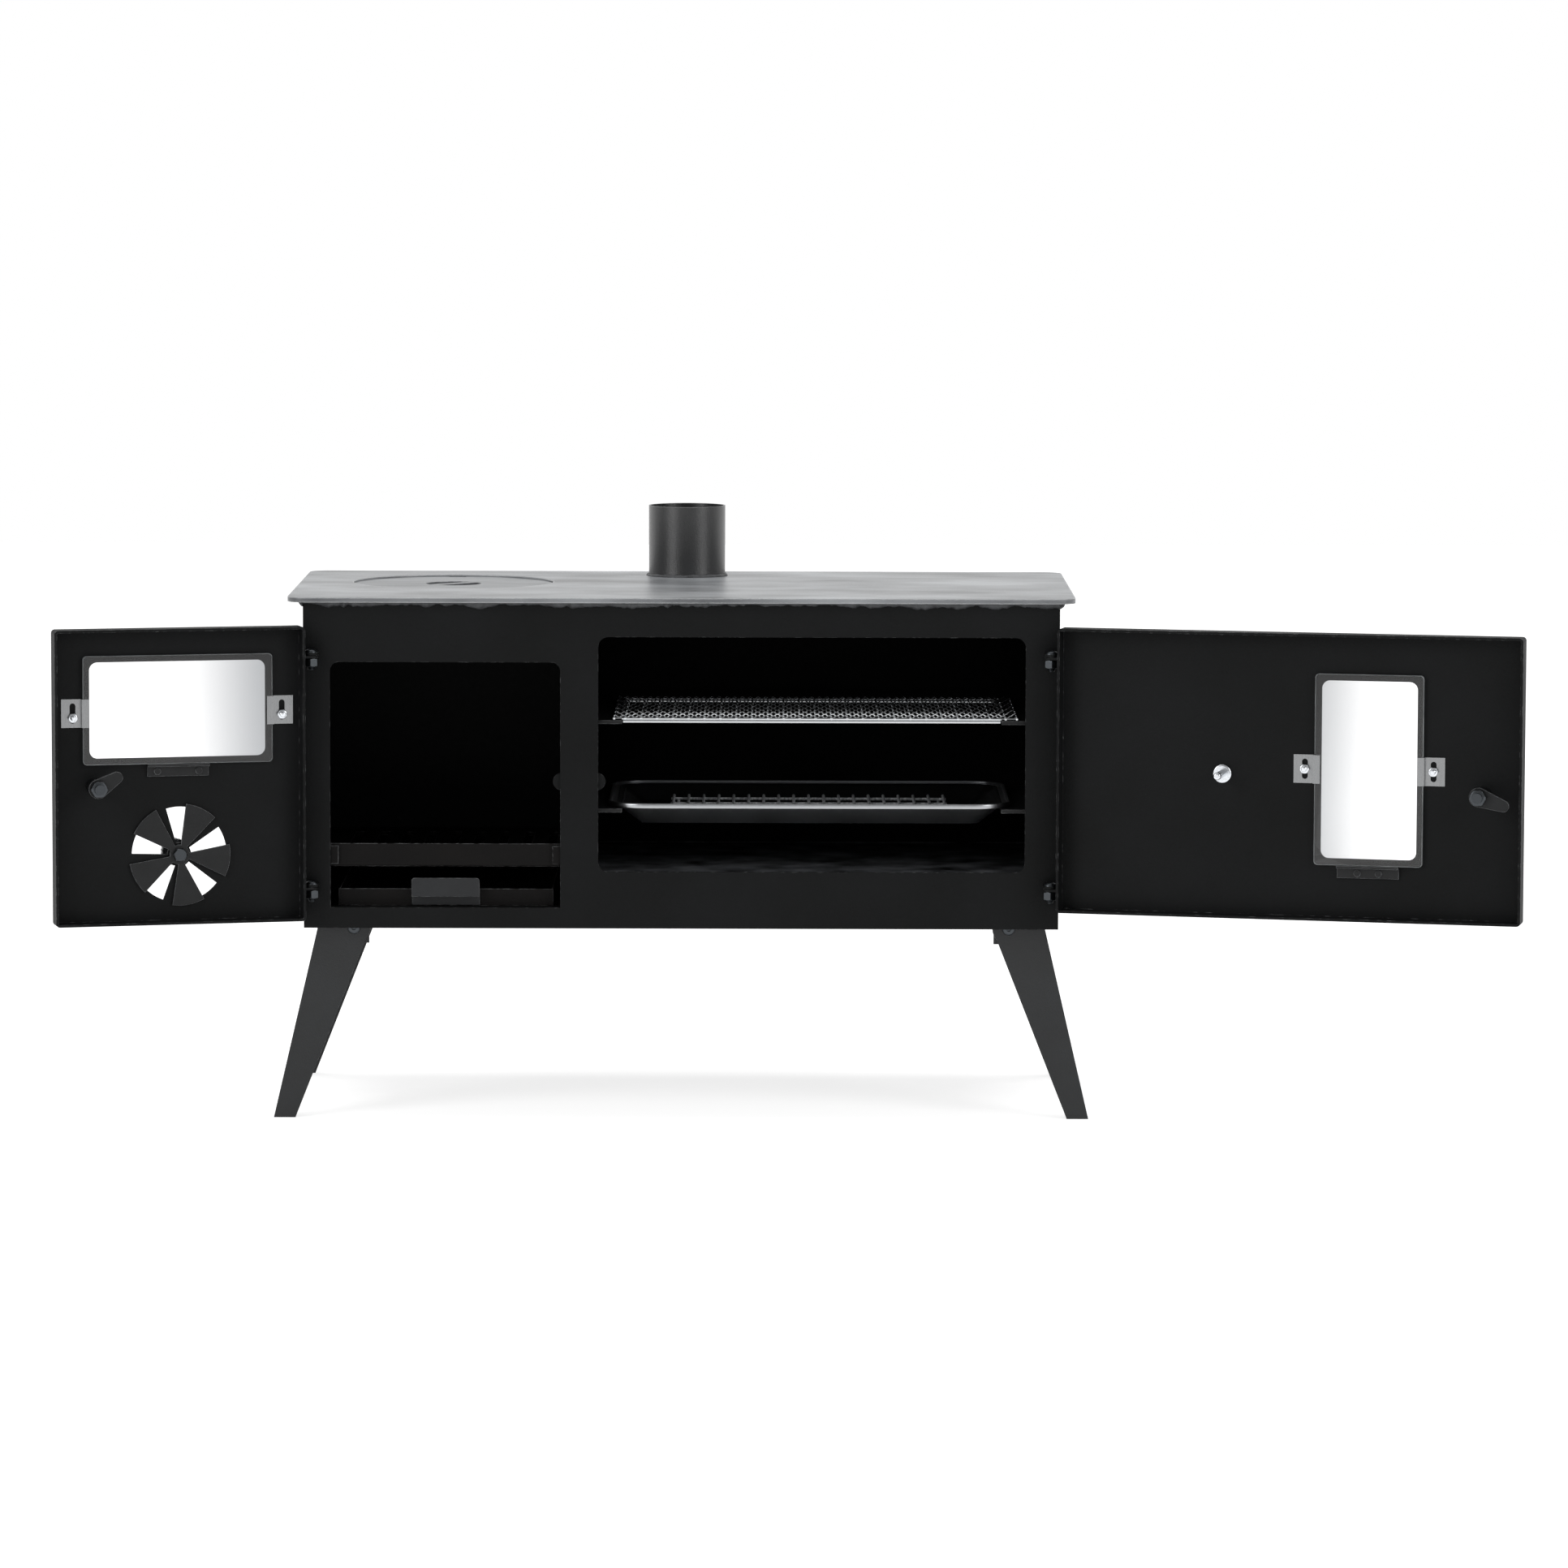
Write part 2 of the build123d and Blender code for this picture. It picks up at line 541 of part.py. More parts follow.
# Two angle ledges that carry the grate
ledge_top = GRATE_TOP - GRATE_THICKNESS
with BuildPart() as grate_ledges:
    for side, wall_x in ((1, -HALF_WIDTH + SHEET), (-1, PARTITION_LEFT)):
        with BuildSketch(front_plane(GRATE_FRONT)):
            with Locations((wall_x + side * LEDGE_SIZE / 2, ledge_top - LEDGE_THICKNESS / 2)):
                Rectangle(LEDGE_SIZE, LEDGE_THICKNESS)
            with Locations((wall_x + side * LEDGE_THICKNESS / 2, ledge_top - LEDGE_SIZE / 2)):
                Rectangle(LEDGE_THICKNESS, LEDGE_SIZE)
        extrude(amount=-grate_depth)
keep("grate_ledges", grate_ledges)

# Log retainer: a bar across the firebox mouth with its foot bent back onto the grate's front
with BuildPart() as log_retainer:
    retainer_mid_z = RETAINER_BOTTOM + RETAINER_HEIGHT / 2
    with BuildSketch(front_plane(RETAINER_SETBACK)):
        with Locations((FIREBOX_MIDDLE, retainer_mid_z)):
            Rectangle(FIREBOX_WIDTH, RETAINER_HEIGHT)
    extrude(amount=-SHEET)
    with BuildSketch(Plane.XY.offset(RETAINER_BOTTOM)):
        with Locations((FIREBOX_MIDDLE, RETAINER_SETBACK + (GRATE_FRONT - RETAINER_SETBACK) / 2)):
            Rectangle(FIREBOX_WIDTH, GRATE_FRONT - RETAINER_SETBACK)
    extrude(amount=SHEET)
    bend = log_retainer.edges().filter_by(Axis.X).group_by(Axis.Z)[0].sort_by(Axis.Y)[0]
    fillet(bend, SHEET)
    for side in (-1, 1):
        with BuildSketch(front_plane(SHEET)):
            with Locations((FIREBOX_MIDDLE + side * FIREBOX_WIDTH / 2, retainer_mid_z)):
                Rectangle(LEDGE_SIZE, RETAINER_HEIGHT - 2 * SHEET)
        extrude(amount=SHEET - RETAINER_SETBACK - SHEET)
keep("log_retainer", log_retainer)

# Ash tray under the grate: a shallow pan with its front wall low enough to pass the sill
ash_bottom = FLOOR_TOP + MOVING_GAP
with BuildPart() as ash_tray:
    with BuildSketch(Plane.XY.offset(ash_bottom)):
        with Locations((FIREBOX_MIDDLE, ASH_FRONT + ASH_DEPTH / 2)):
            Rectangle(ASH_WIDTH, ASH_DEPTH)
    extrude(amount=ASH_HEIGHT)
    with BuildSketch(Plane.XY.offset(ash_bottom + ASH_WALL)):
        with Locations((FIREBOX_MIDDLE, ASH_FRONT + ASH_DEPTH / 2)):
            Rectangle(ASH_WIDTH - 2 * ASH_WALL, ASH_DEPTH - 2 * ASH_WALL)
    extrude(amount=ASH_HEIGHT, mode=Mode.SUBTRACT)
keep("ash_tray", ash_tray)

# Ash tray handle: a strip bent up and forward, on the tray's front wall
handle_bottom = ash_bottom + ASH_HANDLE_RAISE
with BuildPart() as ash_handle:
    with BuildSketch(front_plane(ASH_FRONT)):
        with Locations((FIREBOX_MIDDLE, ash_bottom + ASH_HEIGHT / 2)):
            Rectangle(ASH_HANDLE_WIDTH, ASH_HEIGHT - ASH_WALL)
    extrude(amount=ASH_WALL)
    with BuildSketch(Plane.XY.offset(handle_bottom)):
        with Locations((FIREBOX_MIDDLE, ASH_FRONT - ASH_HANDLE_REACH / 2)):
            Rectangle(ASH_HANDLE_WIDTH, ASH_HANDLE_REACH)
    extrude(amount=ASH_WALL)
    with BuildSketch(front_plane(ASH_FRONT - ASH_HANDLE_REACH)):
        with Locations((FIREBOX_MIDDLE, handle_bottom + ASH_HANDLE_HEIGHT / 2)):
            RectangleRounded(ASH_HANDLE_WIDTH, ASH_HANDLE_HEIGHT, 2 * ASH_WALL)
    extrude(amount=-ASH_WALL)
keep("ash_handle", ash_handle)

# Latch catch: a round-ended bar across the back of the centre post
with BuildPart() as latch_catch:
    with BuildSketch(front_plane(SHEET)):
        with Locations((CATCH_X, LATCH_Z)):
            SlotOverall(CATCH_LENGTH, CATCH_HEIGHT)
    extrude(amount=-CATCH_THICKNESS)
keep("latch_catch", latch_catch)


# Hinges: each is a vertical bolt through a lug on the face plate and a lug on the door
def lug_outline(x, reach_x, reach_y):
    """A round-ended lug about the hinge axis, with an arm out to reach_x or back to reach_y."""
    with Locations((x, HINGE_Y)):
        Circle(HINGE_LUG_RADIUS)
    with Locations((x + reach_x / 2, HINGE_Y + reach_y / 2)):
        Rectangle(abs(reach_x) or 2 * HINGE_LUG_RADIUS, abs(reach_y) or 2 * HINGE_LUG_RADIUS)
    with Locations((x, HINGE_Y)):
        Circle(HINGE_BOLT_RADIUS + RUNNING_FIT, mode=Mode.SUBTRACT)


with BuildPart() as hinge_lugs_body:
    for side in (-1, 1):
        for lug_z in (UPPER_HINGE_Z, LOWER_HINGE_Z):
            with BuildSketch(Plane.XY.offset(lug_z)):
                lug_outline(side * HINGE_X, 0, HINGE_STANDOFF)
            extrude(amount=HINGE_LUG_THICKNESS)
keep("hinge_lugs_body", hinge_lugs_body)

door_lug_drop = MOVING_GAP + HINGE_LUG_THICKNESS
nut_drop = door_lug_drop + MOVING_GAP + HINGE_NUT_HEIGHT


def door_lugs(side, name):
    """Two lugs on a door's hinge edge, just under the body's lugs."""
    with BuildPart() as lugs:
        for lug_z in (UPPER_HINGE_Z, LOWER_HINGE_Z):
            with BuildSketch(Plane.XY.offset(lug_z - door_lug_drop)):
                lug_outline(side * HINGE_X, -side * (DOOR_SIDE_INSET - HINGE_INSET), 0)
            extrude(amount=HINGE_LUG_THICKNESS)
    keep(name, lugs)


door_lugs(-1, "firebox_door_lugs")
door_lugs(1, "oven_door_lugs")

with BuildPart() as hinge_bolts:
    for side in (-1, 1):
        for lug_z in (UPPER_HINGE_Z, LOWER_HINGE_Z):
            head_z = lug_z + HINGE_LUG_THICKNESS
            shank = head_z - (lug_z - nut_drop - HINGE_TIP)
            upright_rod(side * HINGE_X, HINGE_Y, head_z - shank, HINGE_BOLT_RADIUS, shank)
            with BuildSketch(Plane.XY.offset(head_z)):
                with Locations((side * HINGE_X, HINGE_Y)):
                    Circle(DOME_RADIUS)
            extrude(amount=DOME_HEIGHT, taper=25)
keep("hinge_bolts", hinge_bolts)

with BuildPart() as hinge_nuts:
    for side in (-1, 1):
        for lug_z in (UPPER_HINGE_Z, LOWER_HINGE_Z):
            with BuildSketch(Plane.XY.offset(lug_z - nut_drop)):
                with Locations((side * HINGE_X, HINGE_Y)):
                    RegularPolygon(HINGE_NUT_FLATS / 2, 6, major_radius=False)
                    Circle(HINGE_BOLT_RADIUS, mode=Mode.SUBTRACT)
            extrude(amount=HINGE_NUT_HEIGHT)
keep("hinge_nuts", hinge_nuts)


# Doors: shallow pans that stand on the face plate with their flanges
def door_pan(left, right, bottom, holes):
    """A pan between two edges, with the flange towards the body and holes cut by a function."""
    width = right - left
    height = DOOR_TOP - bottom
    middle = (left + right) / 2
    with BuildPart() as pan:
        with BuildSketch(front_plane(DOOR_BACK)):
            with Locations((middle, bottom + height / 2)):
                RectangleRounded(width, height, DOOR_CORNER)
        extrude(amount=DOOR_DEPTH)
        with BuildSketch(front_plane(DOOR_BACK)):
            with Locations((middle, bottom + height / 2)):
                RectangleRounded(width - 2 * DOOR_SHEET, height - 2 * DOOR_SHEET, DOOR_CORNER - DOOR_SHEET)
        extrude(amount=DOOR_DEPTH - DOOR_SHEET, mode=Mode.SUBTRACT)
        with BuildSketch(front_plane(DOOR_BACK)):
            holes()
        extrude(amount=DOOR_DEPTH, mode=Mode.SUBTRACT)
    return pan


def vent_sector(radius, angle, degrees):
    """A wedge of a disc about the vent's middle, as a three-sided sketch cut to a circle."""
    reach = 2 * radius
    first = radians(angle - degrees / 2)
    last = radians(angle + degrees / 2)
    with BuildLine() as outline:
        Polyline(
            (VENT_X, VENT_Z),
            (VENT_X + reach * cos(first), VENT_Z + reach * sin(first)),
            (VENT_X + reach * cos(last), VENT_Z + reach * sin(last)),
            close=True,
        )
    make_face(outline.edges())


vent_angles = [VENT_HOLE_ANGLE + 360 / VENT_BLADES * index for index in range(VENT_BLADES)]
blade_angles = [VENT_DISC_ANGLE + 360 / VENT_BLADES * index for index in range(VENT_BLADES)]


def vent_wedges(depth, outer, inner, inner_mode, angles, degrees):
    """A wheel of wedges: the door's air holes round a solid middle, or the disc's blades on a hub."""
    with BuildSketch(front_plane(depth)) as wheel:
        for angle in angles:
            vent_sector(outer, angle, degrees)
        with Locations((VENT_X, VENT_Z)):
            Circle(outer, mode=Mode.INTERSECT)
            Circle(inner, mode=inner_mode)
    return wheel.sketch


clip_bolt_spread = GLASS_LENGTH / 2 - CLIP_LAP + CLIP_LENGTH - CLIP_BOLT_OUT - 2 * CLIP_BOLT_RADIUS
oven_bolt_spread = clip_bolt_spread - (GLASS_LENGTH - GLASS_WIDTH) / 2


def firebox_holes():
    with Locations((FIREBOX_DOOR_MIDDLE, FIREBOX_GLASS_Z)):
        RectangleRounded(WINDOW_LENGTH, WINDOW_WIDTH, WINDOW_CORNER)
    clip_z = FIREBOX_GLASS_Z - FIREBOX_CLIP_DROP - FIREBOX_BOLT_DROP
    for side in (-1, 1):
        with Locations((FIREBOX_DOOR_MIDDLE + side * clip_bolt_spread, clip_z)):
            Circle(CLIP_BOLT_RADIUS)
    with Locations((FIREBOX_LATCH_X, LATCH_Z)):
        Circle(SPINDLE_RADIUS + RUNNING_FIT)
    with Locations((VENT_X, VENT_Z)):
        Circle(VENT_BOLT_RADIUS + RUNNING_FIT)


def oven_holes():
    with Locations((OVEN_GLASS_X, OVEN_GLASS_Z)):
        RectangleRounded(WINDOW_WIDTH, WINDOW_LENGTH, WINDOW_CORNER)
    for side in (-1, 1):
        with Locations((OVEN_GLASS_X + side * oven_bolt_spread, OVEN_GLASS_Z)):
            Circle(CLIP_BOLT_RADIUS)
    with Locations((OVEN_LATCH_X, LATCH_Z)):
        Circle(SPINDLE_RADIUS + RUNNING_FIT)
    with Locations((THERMO_X, THERMO_Z)):
        Circle(THERMO_STEM_RADIUS)


firebox_door = door_pan(FIREBOX_DOOR_LEFT, FIREBOX_DOOR_RIGHT, FIREBOX_DOOR_BOTTOM, firebox_holes)
air_holes = vent_wedges(
    DOOR_BACK, VENT_HOLE_RADIUS, VENT_HOLE_INNER, Mode.SUBTRACT, vent_angles, VENT_HOLE_DEGREES
)
with firebox_door:
    extrude(air_holes, amount=DOOR_DEPTH, mode=Mode.SUBTRACT)
keep("firebox_door_pan", firebox_door)
keep("oven_door_pan", door_pan(OVEN_DOOR_LEFT, OVEN_DOOR_RIGHT, OVEN_DOOR_BOTTOM, oven_holes))


# Glass, clips, clip bolts with their nuts, and the ledge under the glass, for both doors
def glazing(name, x, z, width, height, clip_drop, bolt_drop, bolt_spread, rivet_spacing):
    """Everything that holds one ceramic glass pane against the inside of a door."""
    with BuildPart() as glass:
        with BuildSketch(front_plane(DOOR_INSIDE)):
            with Locations((x, z)):
                RectangleRounded(width, height, GLASS_THICKNESS / 2)
        extrude(amount=-GLASS_THICKNESS)
    keep(name + "_glass", glass)

    clip_z = z - clip_drop
    bolt_z = clip_z - bolt_drop
    foot_back = DOOR_INSIDE + CLIP_SHEET
    lap_front = DOOR_INSIDE + GLASS_THICKNESS
    with BuildPart() as clips:
        for side in (-1, 1):
            lap_end = x + side * (width / 2 - CLIP_LAP)
            step = x + side * (width / 2 + MOVING_GAP)
            foot_end = lap_end + side * CLIP_LENGTH
            with BuildSketch(Plane.XY.offset(clip_z - CLIP_HEIGHT / 2)):
                with BuildLine():
                    Polyline(
                        (foot_end, DOOR_INSIDE),
                        (step, DOOR_INSIDE),
                        (step, lap_front),
                        (lap_end, lap_front),
                        (lap_end, lap_front + CLIP_SHEET),
                        (step + side * CLIP_SHEET, lap_front + CLIP_SHEET),
                        (step + side * CLIP_SHEET, foot_back),
                        (foot_end, foot_back),
                        close=True,
                    )
                make_face()
            extrude(amount=CLIP_HEIGHT)
            with BuildSketch(front_plane(lap_front)):
                with Locations((x + side * bolt_spread, clip_z)):
                    SlotOverall(CLIP_SLOT_LENGTH, CLIP_SLOT_WIDTH, rotation=90)
            extrude(amount=GLASS_THICKNESS, mode=Mode.SUBTRACT)
    keep(name + "_glass_clips", clips)

    with BuildPart() as clip_bolts:
        for side in (-1, 1):
            bolt_x = x + side * bolt_spread
            disc(bolt_x, bolt_z, DOOR_FRONT - CLIP_BOLT_RADIUS, 2 * CLIP_BOLT_RADIUS, CLIP_BOLT_RADIUS)
            disc(bolt_x, bolt_z, DOOR_FRONT, CLIP_BOLT_RADIUS, DOOR_SHEET + CLIP_BOLT_REACH)
            hexagon(bolt_x, bolt_z, foot_back, CLIP_NUT_FLATS, CLIP_NUT_HEIGHT)
    keep(name + "_clip_bolts", clip_bolts)

    ledge_z = z - height / 2
    with BuildPart() as ledge:
        with BuildSketch(Plane.XY.offset(ledge_z - GLASS_LEDGE_SHEET)):
            with Locations((x, DOOR_INSIDE + GLASS_LEDGE_DEPTH / 2)):
                Rectangle(LEDGE_LENGTH, GLASS_LEDGE_DEPTH)
        extrude(amount=GLASS_LEDGE_SHEET)
        with BuildSketch(front_plane(DOOR_INSIDE)):
            with Locations((x, ledge_z - GLASS_LEDGE_DROP / 2)):
                Rectangle(LEDGE_LENGTH, GLASS_LEDGE_DROP)
        extrude(amount=-GLASS_LEDGE_SHEET)
        rivet_z = ledge_z - (GLASS_LEDGE_DROP + GLASS_LEDGE_SHEET) / 2
        for side in (-1, 1):
            rivet_x = x + side * rivet_spacing / 2
            disc(rivet_x, rivet_z, DOOR_INSIDE + GLASS_LEDGE_SHEET, RIVET_RADIUS, RIVET_HEIGHT)
    keep(name + "_glass_ledge", ledge)


glazing(
    "firebox", FIREBOX_DOOR_MIDDLE, FIREBOX_GLASS_Z, GLASS_LENGTH, GLASS_WIDTH,
    FIREBOX_CLIP_DROP, FIREBOX_BOLT_DROP, clip_bolt_spread, FIREBOX_RIVET_SPACING,
)
glazing(
    "oven", OVEN_GLASS_X, OVEN_GLASS_Z, GLASS_WIDTH, GLASS_LENGTH,
    0, 0, oven_bolt_spread, OVEN_RIVET_SPACING,
)


# Latches: a spindle through the door turns a pawl behind the catch, and a T grip turns the spindle
def latch(name, x, reach, angle):
    """Spindle, pawl, nut and grip of one latch, with the pawl pointing at the given angle."""
    tip_x = x + reach * cos(radians(angle))
    tip_z = LATCH_Z + reach * sin(radians(angle))
    shoulder_front = DOOR_FRONT - MOVING_GAP - SHOULDER_THICKNESS
    grip_y = DOOR_FRONT - GRIP_STANDOFF
    with BuildPart() as spindle:
        disc(x, LATCH_Z, shoulder_front, GRIP_COLLAR_RADIUS, SHOULDER_THICKNESS)
        disc(x, LATCH_Z, grip_y, SPINDLE_RADIUS, PAWL_BACK + LATCH_NUT_HEIGHT + LATCH_TIP - grip_y)
        inner_front = DOOR_INSIDE + MOVING_GAP
        disc(x, LATCH_Z, inner_front, SPINDLE_SHOULDER, PAWL_FRONT - inner_front)
    keep(name + "_latch_spindle", spindle)
    with BuildPart() as pawl:
        with BuildSketch(front_plane(PAWL_FRONT)):
            with Locations((x, LATCH_Z)):
                Circle(PAWL_ROOT_RADIUS)
            with Locations((tip_x, tip_z)):
                Circle(PAWL_TIP_RADIUS)
            make_hull()
            with Locations((x, LATCH_Z)):
                Circle(SPINDLE_RADIUS, mode=Mode.SUBTRACT)
        extrude(amount=-PAWL_THICKNESS)
    keep(name + "_latch_pawl", pawl)
    with BuildPart() as nut:
        with BuildSketch(front_plane(PAWL_BACK)):
            with Locations((x, LATCH_Z)):
                RegularPolygon(LATCH_NUT_FLATS / 2, 6, major_radius=False)
                Circle(SPINDLE_RADIUS, mode=Mode.SUBTRACT)
        extrude(amount=-LATCH_NUT_HEIGHT)
    keep(name + "_latch_nut", nut)
    with BuildPart() as grip:
        with BuildSketch(Plane.YZ.offset(x - GRIP_LENGTH / 2)):
            with Locations((grip_y, LATCH_Z)):
                Circle(GRIP_RADIUS)
        extrude(amount=GRIP_LENGTH)
        fillet(grip.edges().filter_by(GeomType.CIRCLE), GRIP_RADIUS / 2)
        with BuildSketch(front_plane(grip_y)):
            with Locations((x, LATCH_Z)):
                Circle(SPINDLE_RADIUS)
        extrude(amount=-GRIP_RADIUS - MOVING_GAP, mode=Mode.SUBTRACT)
    keep(name + "_latch_grip", grip)


latch("firebox", FIREBOX_LATCH_X, FIREBOX_PAWL_REACH, FIREBOX_PAWL_ANGLE)
latch("oven", OVEN_LATCH_X, OVEN_PAWL_REACH, OVEN_PAWL_ANGLE)

# Air vent: a bladed disc inside the firebox door, on a bolt turned by a knob outside
vent_front = DOOR_INSIDE + MOVING_GAP
vent_head = vent_front + VENT_DISC_SHEET
blades = vent_wedges(
    vent_front, VENT_DISC_RADIUS, VENT_HUB_RADIUS, Mode.ADD, blade_angles, VENT_BLADE_DEGREES
)
with BuildPart() as vent_disc:
    extrude(blades, amount=-VENT_DISC_SHEET)
    with BuildSketch(front_plane(vent_front)):
        with Locations((VENT_X, VENT_Z)):
            Circle(VENT_BOLT_RADIUS)
    extrude(amount=-VENT_DISC_SHEET, mode=Mode.SUBTRACT)
keep("vent_disc", vent_disc)

with BuildPart() as vent_bolt:
    hexagon(VENT_X, VENT_Z, vent_head, VENT_HEAD_FLATS, VENT_HEAD_HEIGHT)
    knob_back = DOOR_FRONT - MOVING_GAP
    disc(VENT_X, VENT_Z, knob_back, VENT_BOLT_RADIUS, vent_head - knob_back)
keep("vent_bolt", vent_bolt)

with BuildPart() as vent_knob:
    disc(VENT_X, VENT_Z, knob_back - VENT_KNOB_LENGTH, VENT_KNOB_RADIUS, VENT_KNOB_LENGTH)
    knob_end = vent_knob.edges().group_by(Axis.Y)[0]
    fillet(knob_end, VENT_KNOB_RADIUS / 4)
keep("vent_knob", vent_knob)

# Oven thermometer: a stem through the door, clamped by a round nut, with a dial outside
dial_back = DOOR_FRONT - THERMO_CASE_WALL
lens_front = DOOR_FRONT - THERMO_CASE_DEPTH
with BuildPart() as thermometer_case:
    disc(THERMO_X, THERMO_Z, lens_front, THERMO_CASE_RADIUS, THERMO_CASE_DEPTH)
    with BuildSketch(front_plane(lens_front)):
        with Locations((THERMO_X, THERMO_Z)):
            Circle(THERMO_CASE_RADIUS - THERMO_CASE_WALL)
    extrude(amount=-THERMO_CASE_DEPTH + THERMO_CASE_WALL, mode=Mode.SUBTRACT)
keep("thermometer_case", thermometer_case)

with BuildPart() as thermometer_dial:
    dial_front = dial_back - THERMO_DIAL_THICKNESS
    disc(THERMO_X, THERMO_Z, dial_front, THERMO_CASE_RADIUS - THERMO_CASE_WALL, THERMO_DIAL_THICKNESS)
keep("thermometer_dial", thermometer_dial)

with BuildPart() as thermometer_lens:
    disc(
        THERMO_X, THERMO_Z, lens_front, THERMO_CASE_RADIUS - THERMO_CASE_WALL, THERMO_LENS_THICKNESS
    )
keep("thermometer_lens", thermometer_lens)

hub_depth = (dial_front - lens_front - THERMO_LENS_THICKNESS) / 2
with BuildPart() as thermometer_needle:
    disc(THERMO_X, THERMO_Z, dial_front - hub_depth, NEEDLE_WIDTH, hub_depth)
    with BuildSketch(front_plane(dial_front - hub_depth)):
        with Locations((THERMO_X, THERMO_Z)):
            with PolarLocations((NEEDLE_LENGTH - NEEDLE_TAIL) / 2, 1, start_angle=NEEDLE_COLD_ANGLE):
                Rectangle(NEEDLE_LENGTH + NEEDLE_TAIL, NEEDLE_WIDTH)
    extrude(amount=-NEEDLE_THICKNESS)
keep("thermometer_needle", thermometer_needle)

with BuildPart() as thermometer_stem:
    disc(THERMO_X, THERMO_Z, DOOR_FRONT, THERMO_STEM_RADIUS, DOOR_SHEET + THERMO_STEM_LENGTH)
    stem_tip = thermometer_stem.edges().group_by(Axis.Y)[-1]
    fillet(stem_tip, THERMO_STEM_RADIUS / 2)
keep("thermometer_stem", thermometer_stem)

with BuildPart() as thermometer_nut:
    with BuildSketch(front_plane(DOOR_INSIDE)):
        with Locations((THERMO_X, THERMO_Z)):
            Circle(THERMO_NUT_RADIUS)
            Circle(THERMO_STEM_RADIUS, mode=Mode.SUBTRACT)
    extrude(amount=-THERMO_NUT_HEIGHT)
    nut_rim = thermometer_nut.edges().group_by(Axis.Y)[-1].sort_by(SortBy.LENGTH)[-1]
    fillet(nut_rim, THERMO_NUT_HEIGHT / 2)
keep("thermometer_nut", thermometer_nut)

# Upper rack: a welded frame of wires under a mesh, on the upper rails
rack_base = UPPER_RAIL_TOP + MOVING_GAP
rack_middle_y = RACK_FRONT + RACK_DEPTH / 2
cross_count = int((RACK_WIDTH - 2 * RACK_WIRE) // RACK_CROSS_PITCH)
with BuildPart() as oven_rack_frame:
    for side in (-1, 1):
        with BuildSketch(front_plane(RACK_FRONT)):
            with Locations((RACK_X + side * (RACK_WIDTH - RACK_WIRE) / 2, rack_base + RACK_WIRE / 2)):
                Circle(RACK_WIRE / 2)
        extrude(amount=-RACK_DEPTH)
        with BuildSketch(Plane.YZ.offset(RACK_X - RACK_WIDTH / 2)):
            with Locations((rack_middle_y + side * (RACK_DEPTH - RACK_WIRE) / 2, rack_base + RACK_WIRE / 2)):
                Circle(RACK_WIRE / 2)
        extrude(amount=RACK_WIDTH)
    cross_z = rack_base + RACK_WIRE - RACK_WELD_SINK
    with BuildSketch(front_plane(RACK_FRONT + RACK_WIRE / 4)):
        with Locations((RACK_X, cross_z + RACK_CROSS_WIRE / 2)):
            with GridLocations(RACK_CROSS_PITCH, 1, cross_count, 1):
                Circle(RACK_CROSS_WIRE / 2)
    extrude(amount=-RACK_DEPTH + RACK_WIRE / 2)
keep("oven_rack_frame", oven_rack_frame)

mesh_z = cross_z + RACK_CROSS_WIRE
with BuildPart() as oven_rack_mesh:
    with BuildSketch(Plane.XY.offset(mesh_z)):
        with Locations((RACK_X, rack_middle_y)):
            Rectangle(RACK_WIDTH, RACK_DEPTH)
    extrude(amount=RACK_MESH)
keep("oven_rack_mesh", oven_rack_mesh)

# Roasting tray: a drawn pan with a rolled rim, hung by its rim on the lower rails
rim_under = LOWER_RAIL_TOP + MOVING_GAP
rim_top = rim_under + TRAY_RIM_ROLL
tray_y = TRAY_FRONT + TRAY_DEPTH / 2
tray_base = rim_top - TRAY_HEIGHT
pan_width = TRAY_WIDTH - 2 * TRAY_RIM
pan_depth = TRAY_DEPTH - 2 * TRAY_RIM
pan_corner = TRAY_CORNER - TRAY_RIM
tray_slope = degrees(atan2(TRAY_TAPER, TRAY_HEIGHT))
with BuildPart() as roasting_tray:
    with BuildSketch(Plane.XY.offset(rim_under)):
        with Locations((TRAY_X, tray_y)):
            RectangleRounded(TRAY_WIDTH, TRAY_DEPTH, TRAY_CORNER)
    extrude(amount=TRAY_RIM_ROLL)
    fillet(roasting_tray.edges().group_by(Axis.Z)[-1], TRAY_RIM_ROLL / 3)
    with BuildSketch(Plane.XY.offset(rim_top)):
        with Locations((TRAY_X, tray_y)):
            RectangleRounded(pan_width, pan_depth, pan_corner)
    extrude(amount=-TRAY_HEIGHT, taper=tray_slope)
    with BuildSketch(Plane.XY.offset(rim_top)):
        with Locations((TRAY_X, tray_y)):
            RectangleRounded(
                pan_width - 2 * TRAY_WALL, pan_depth - 2 * TRAY_WALL, pan_corner - TRAY_WALL
            )
    extrude(amount=TRAY_WALL - TRAY_HEIGHT, taper=tray_slope, mode=Mode.SUBTRACT)
keep("roasting_tray", roasting_tray)

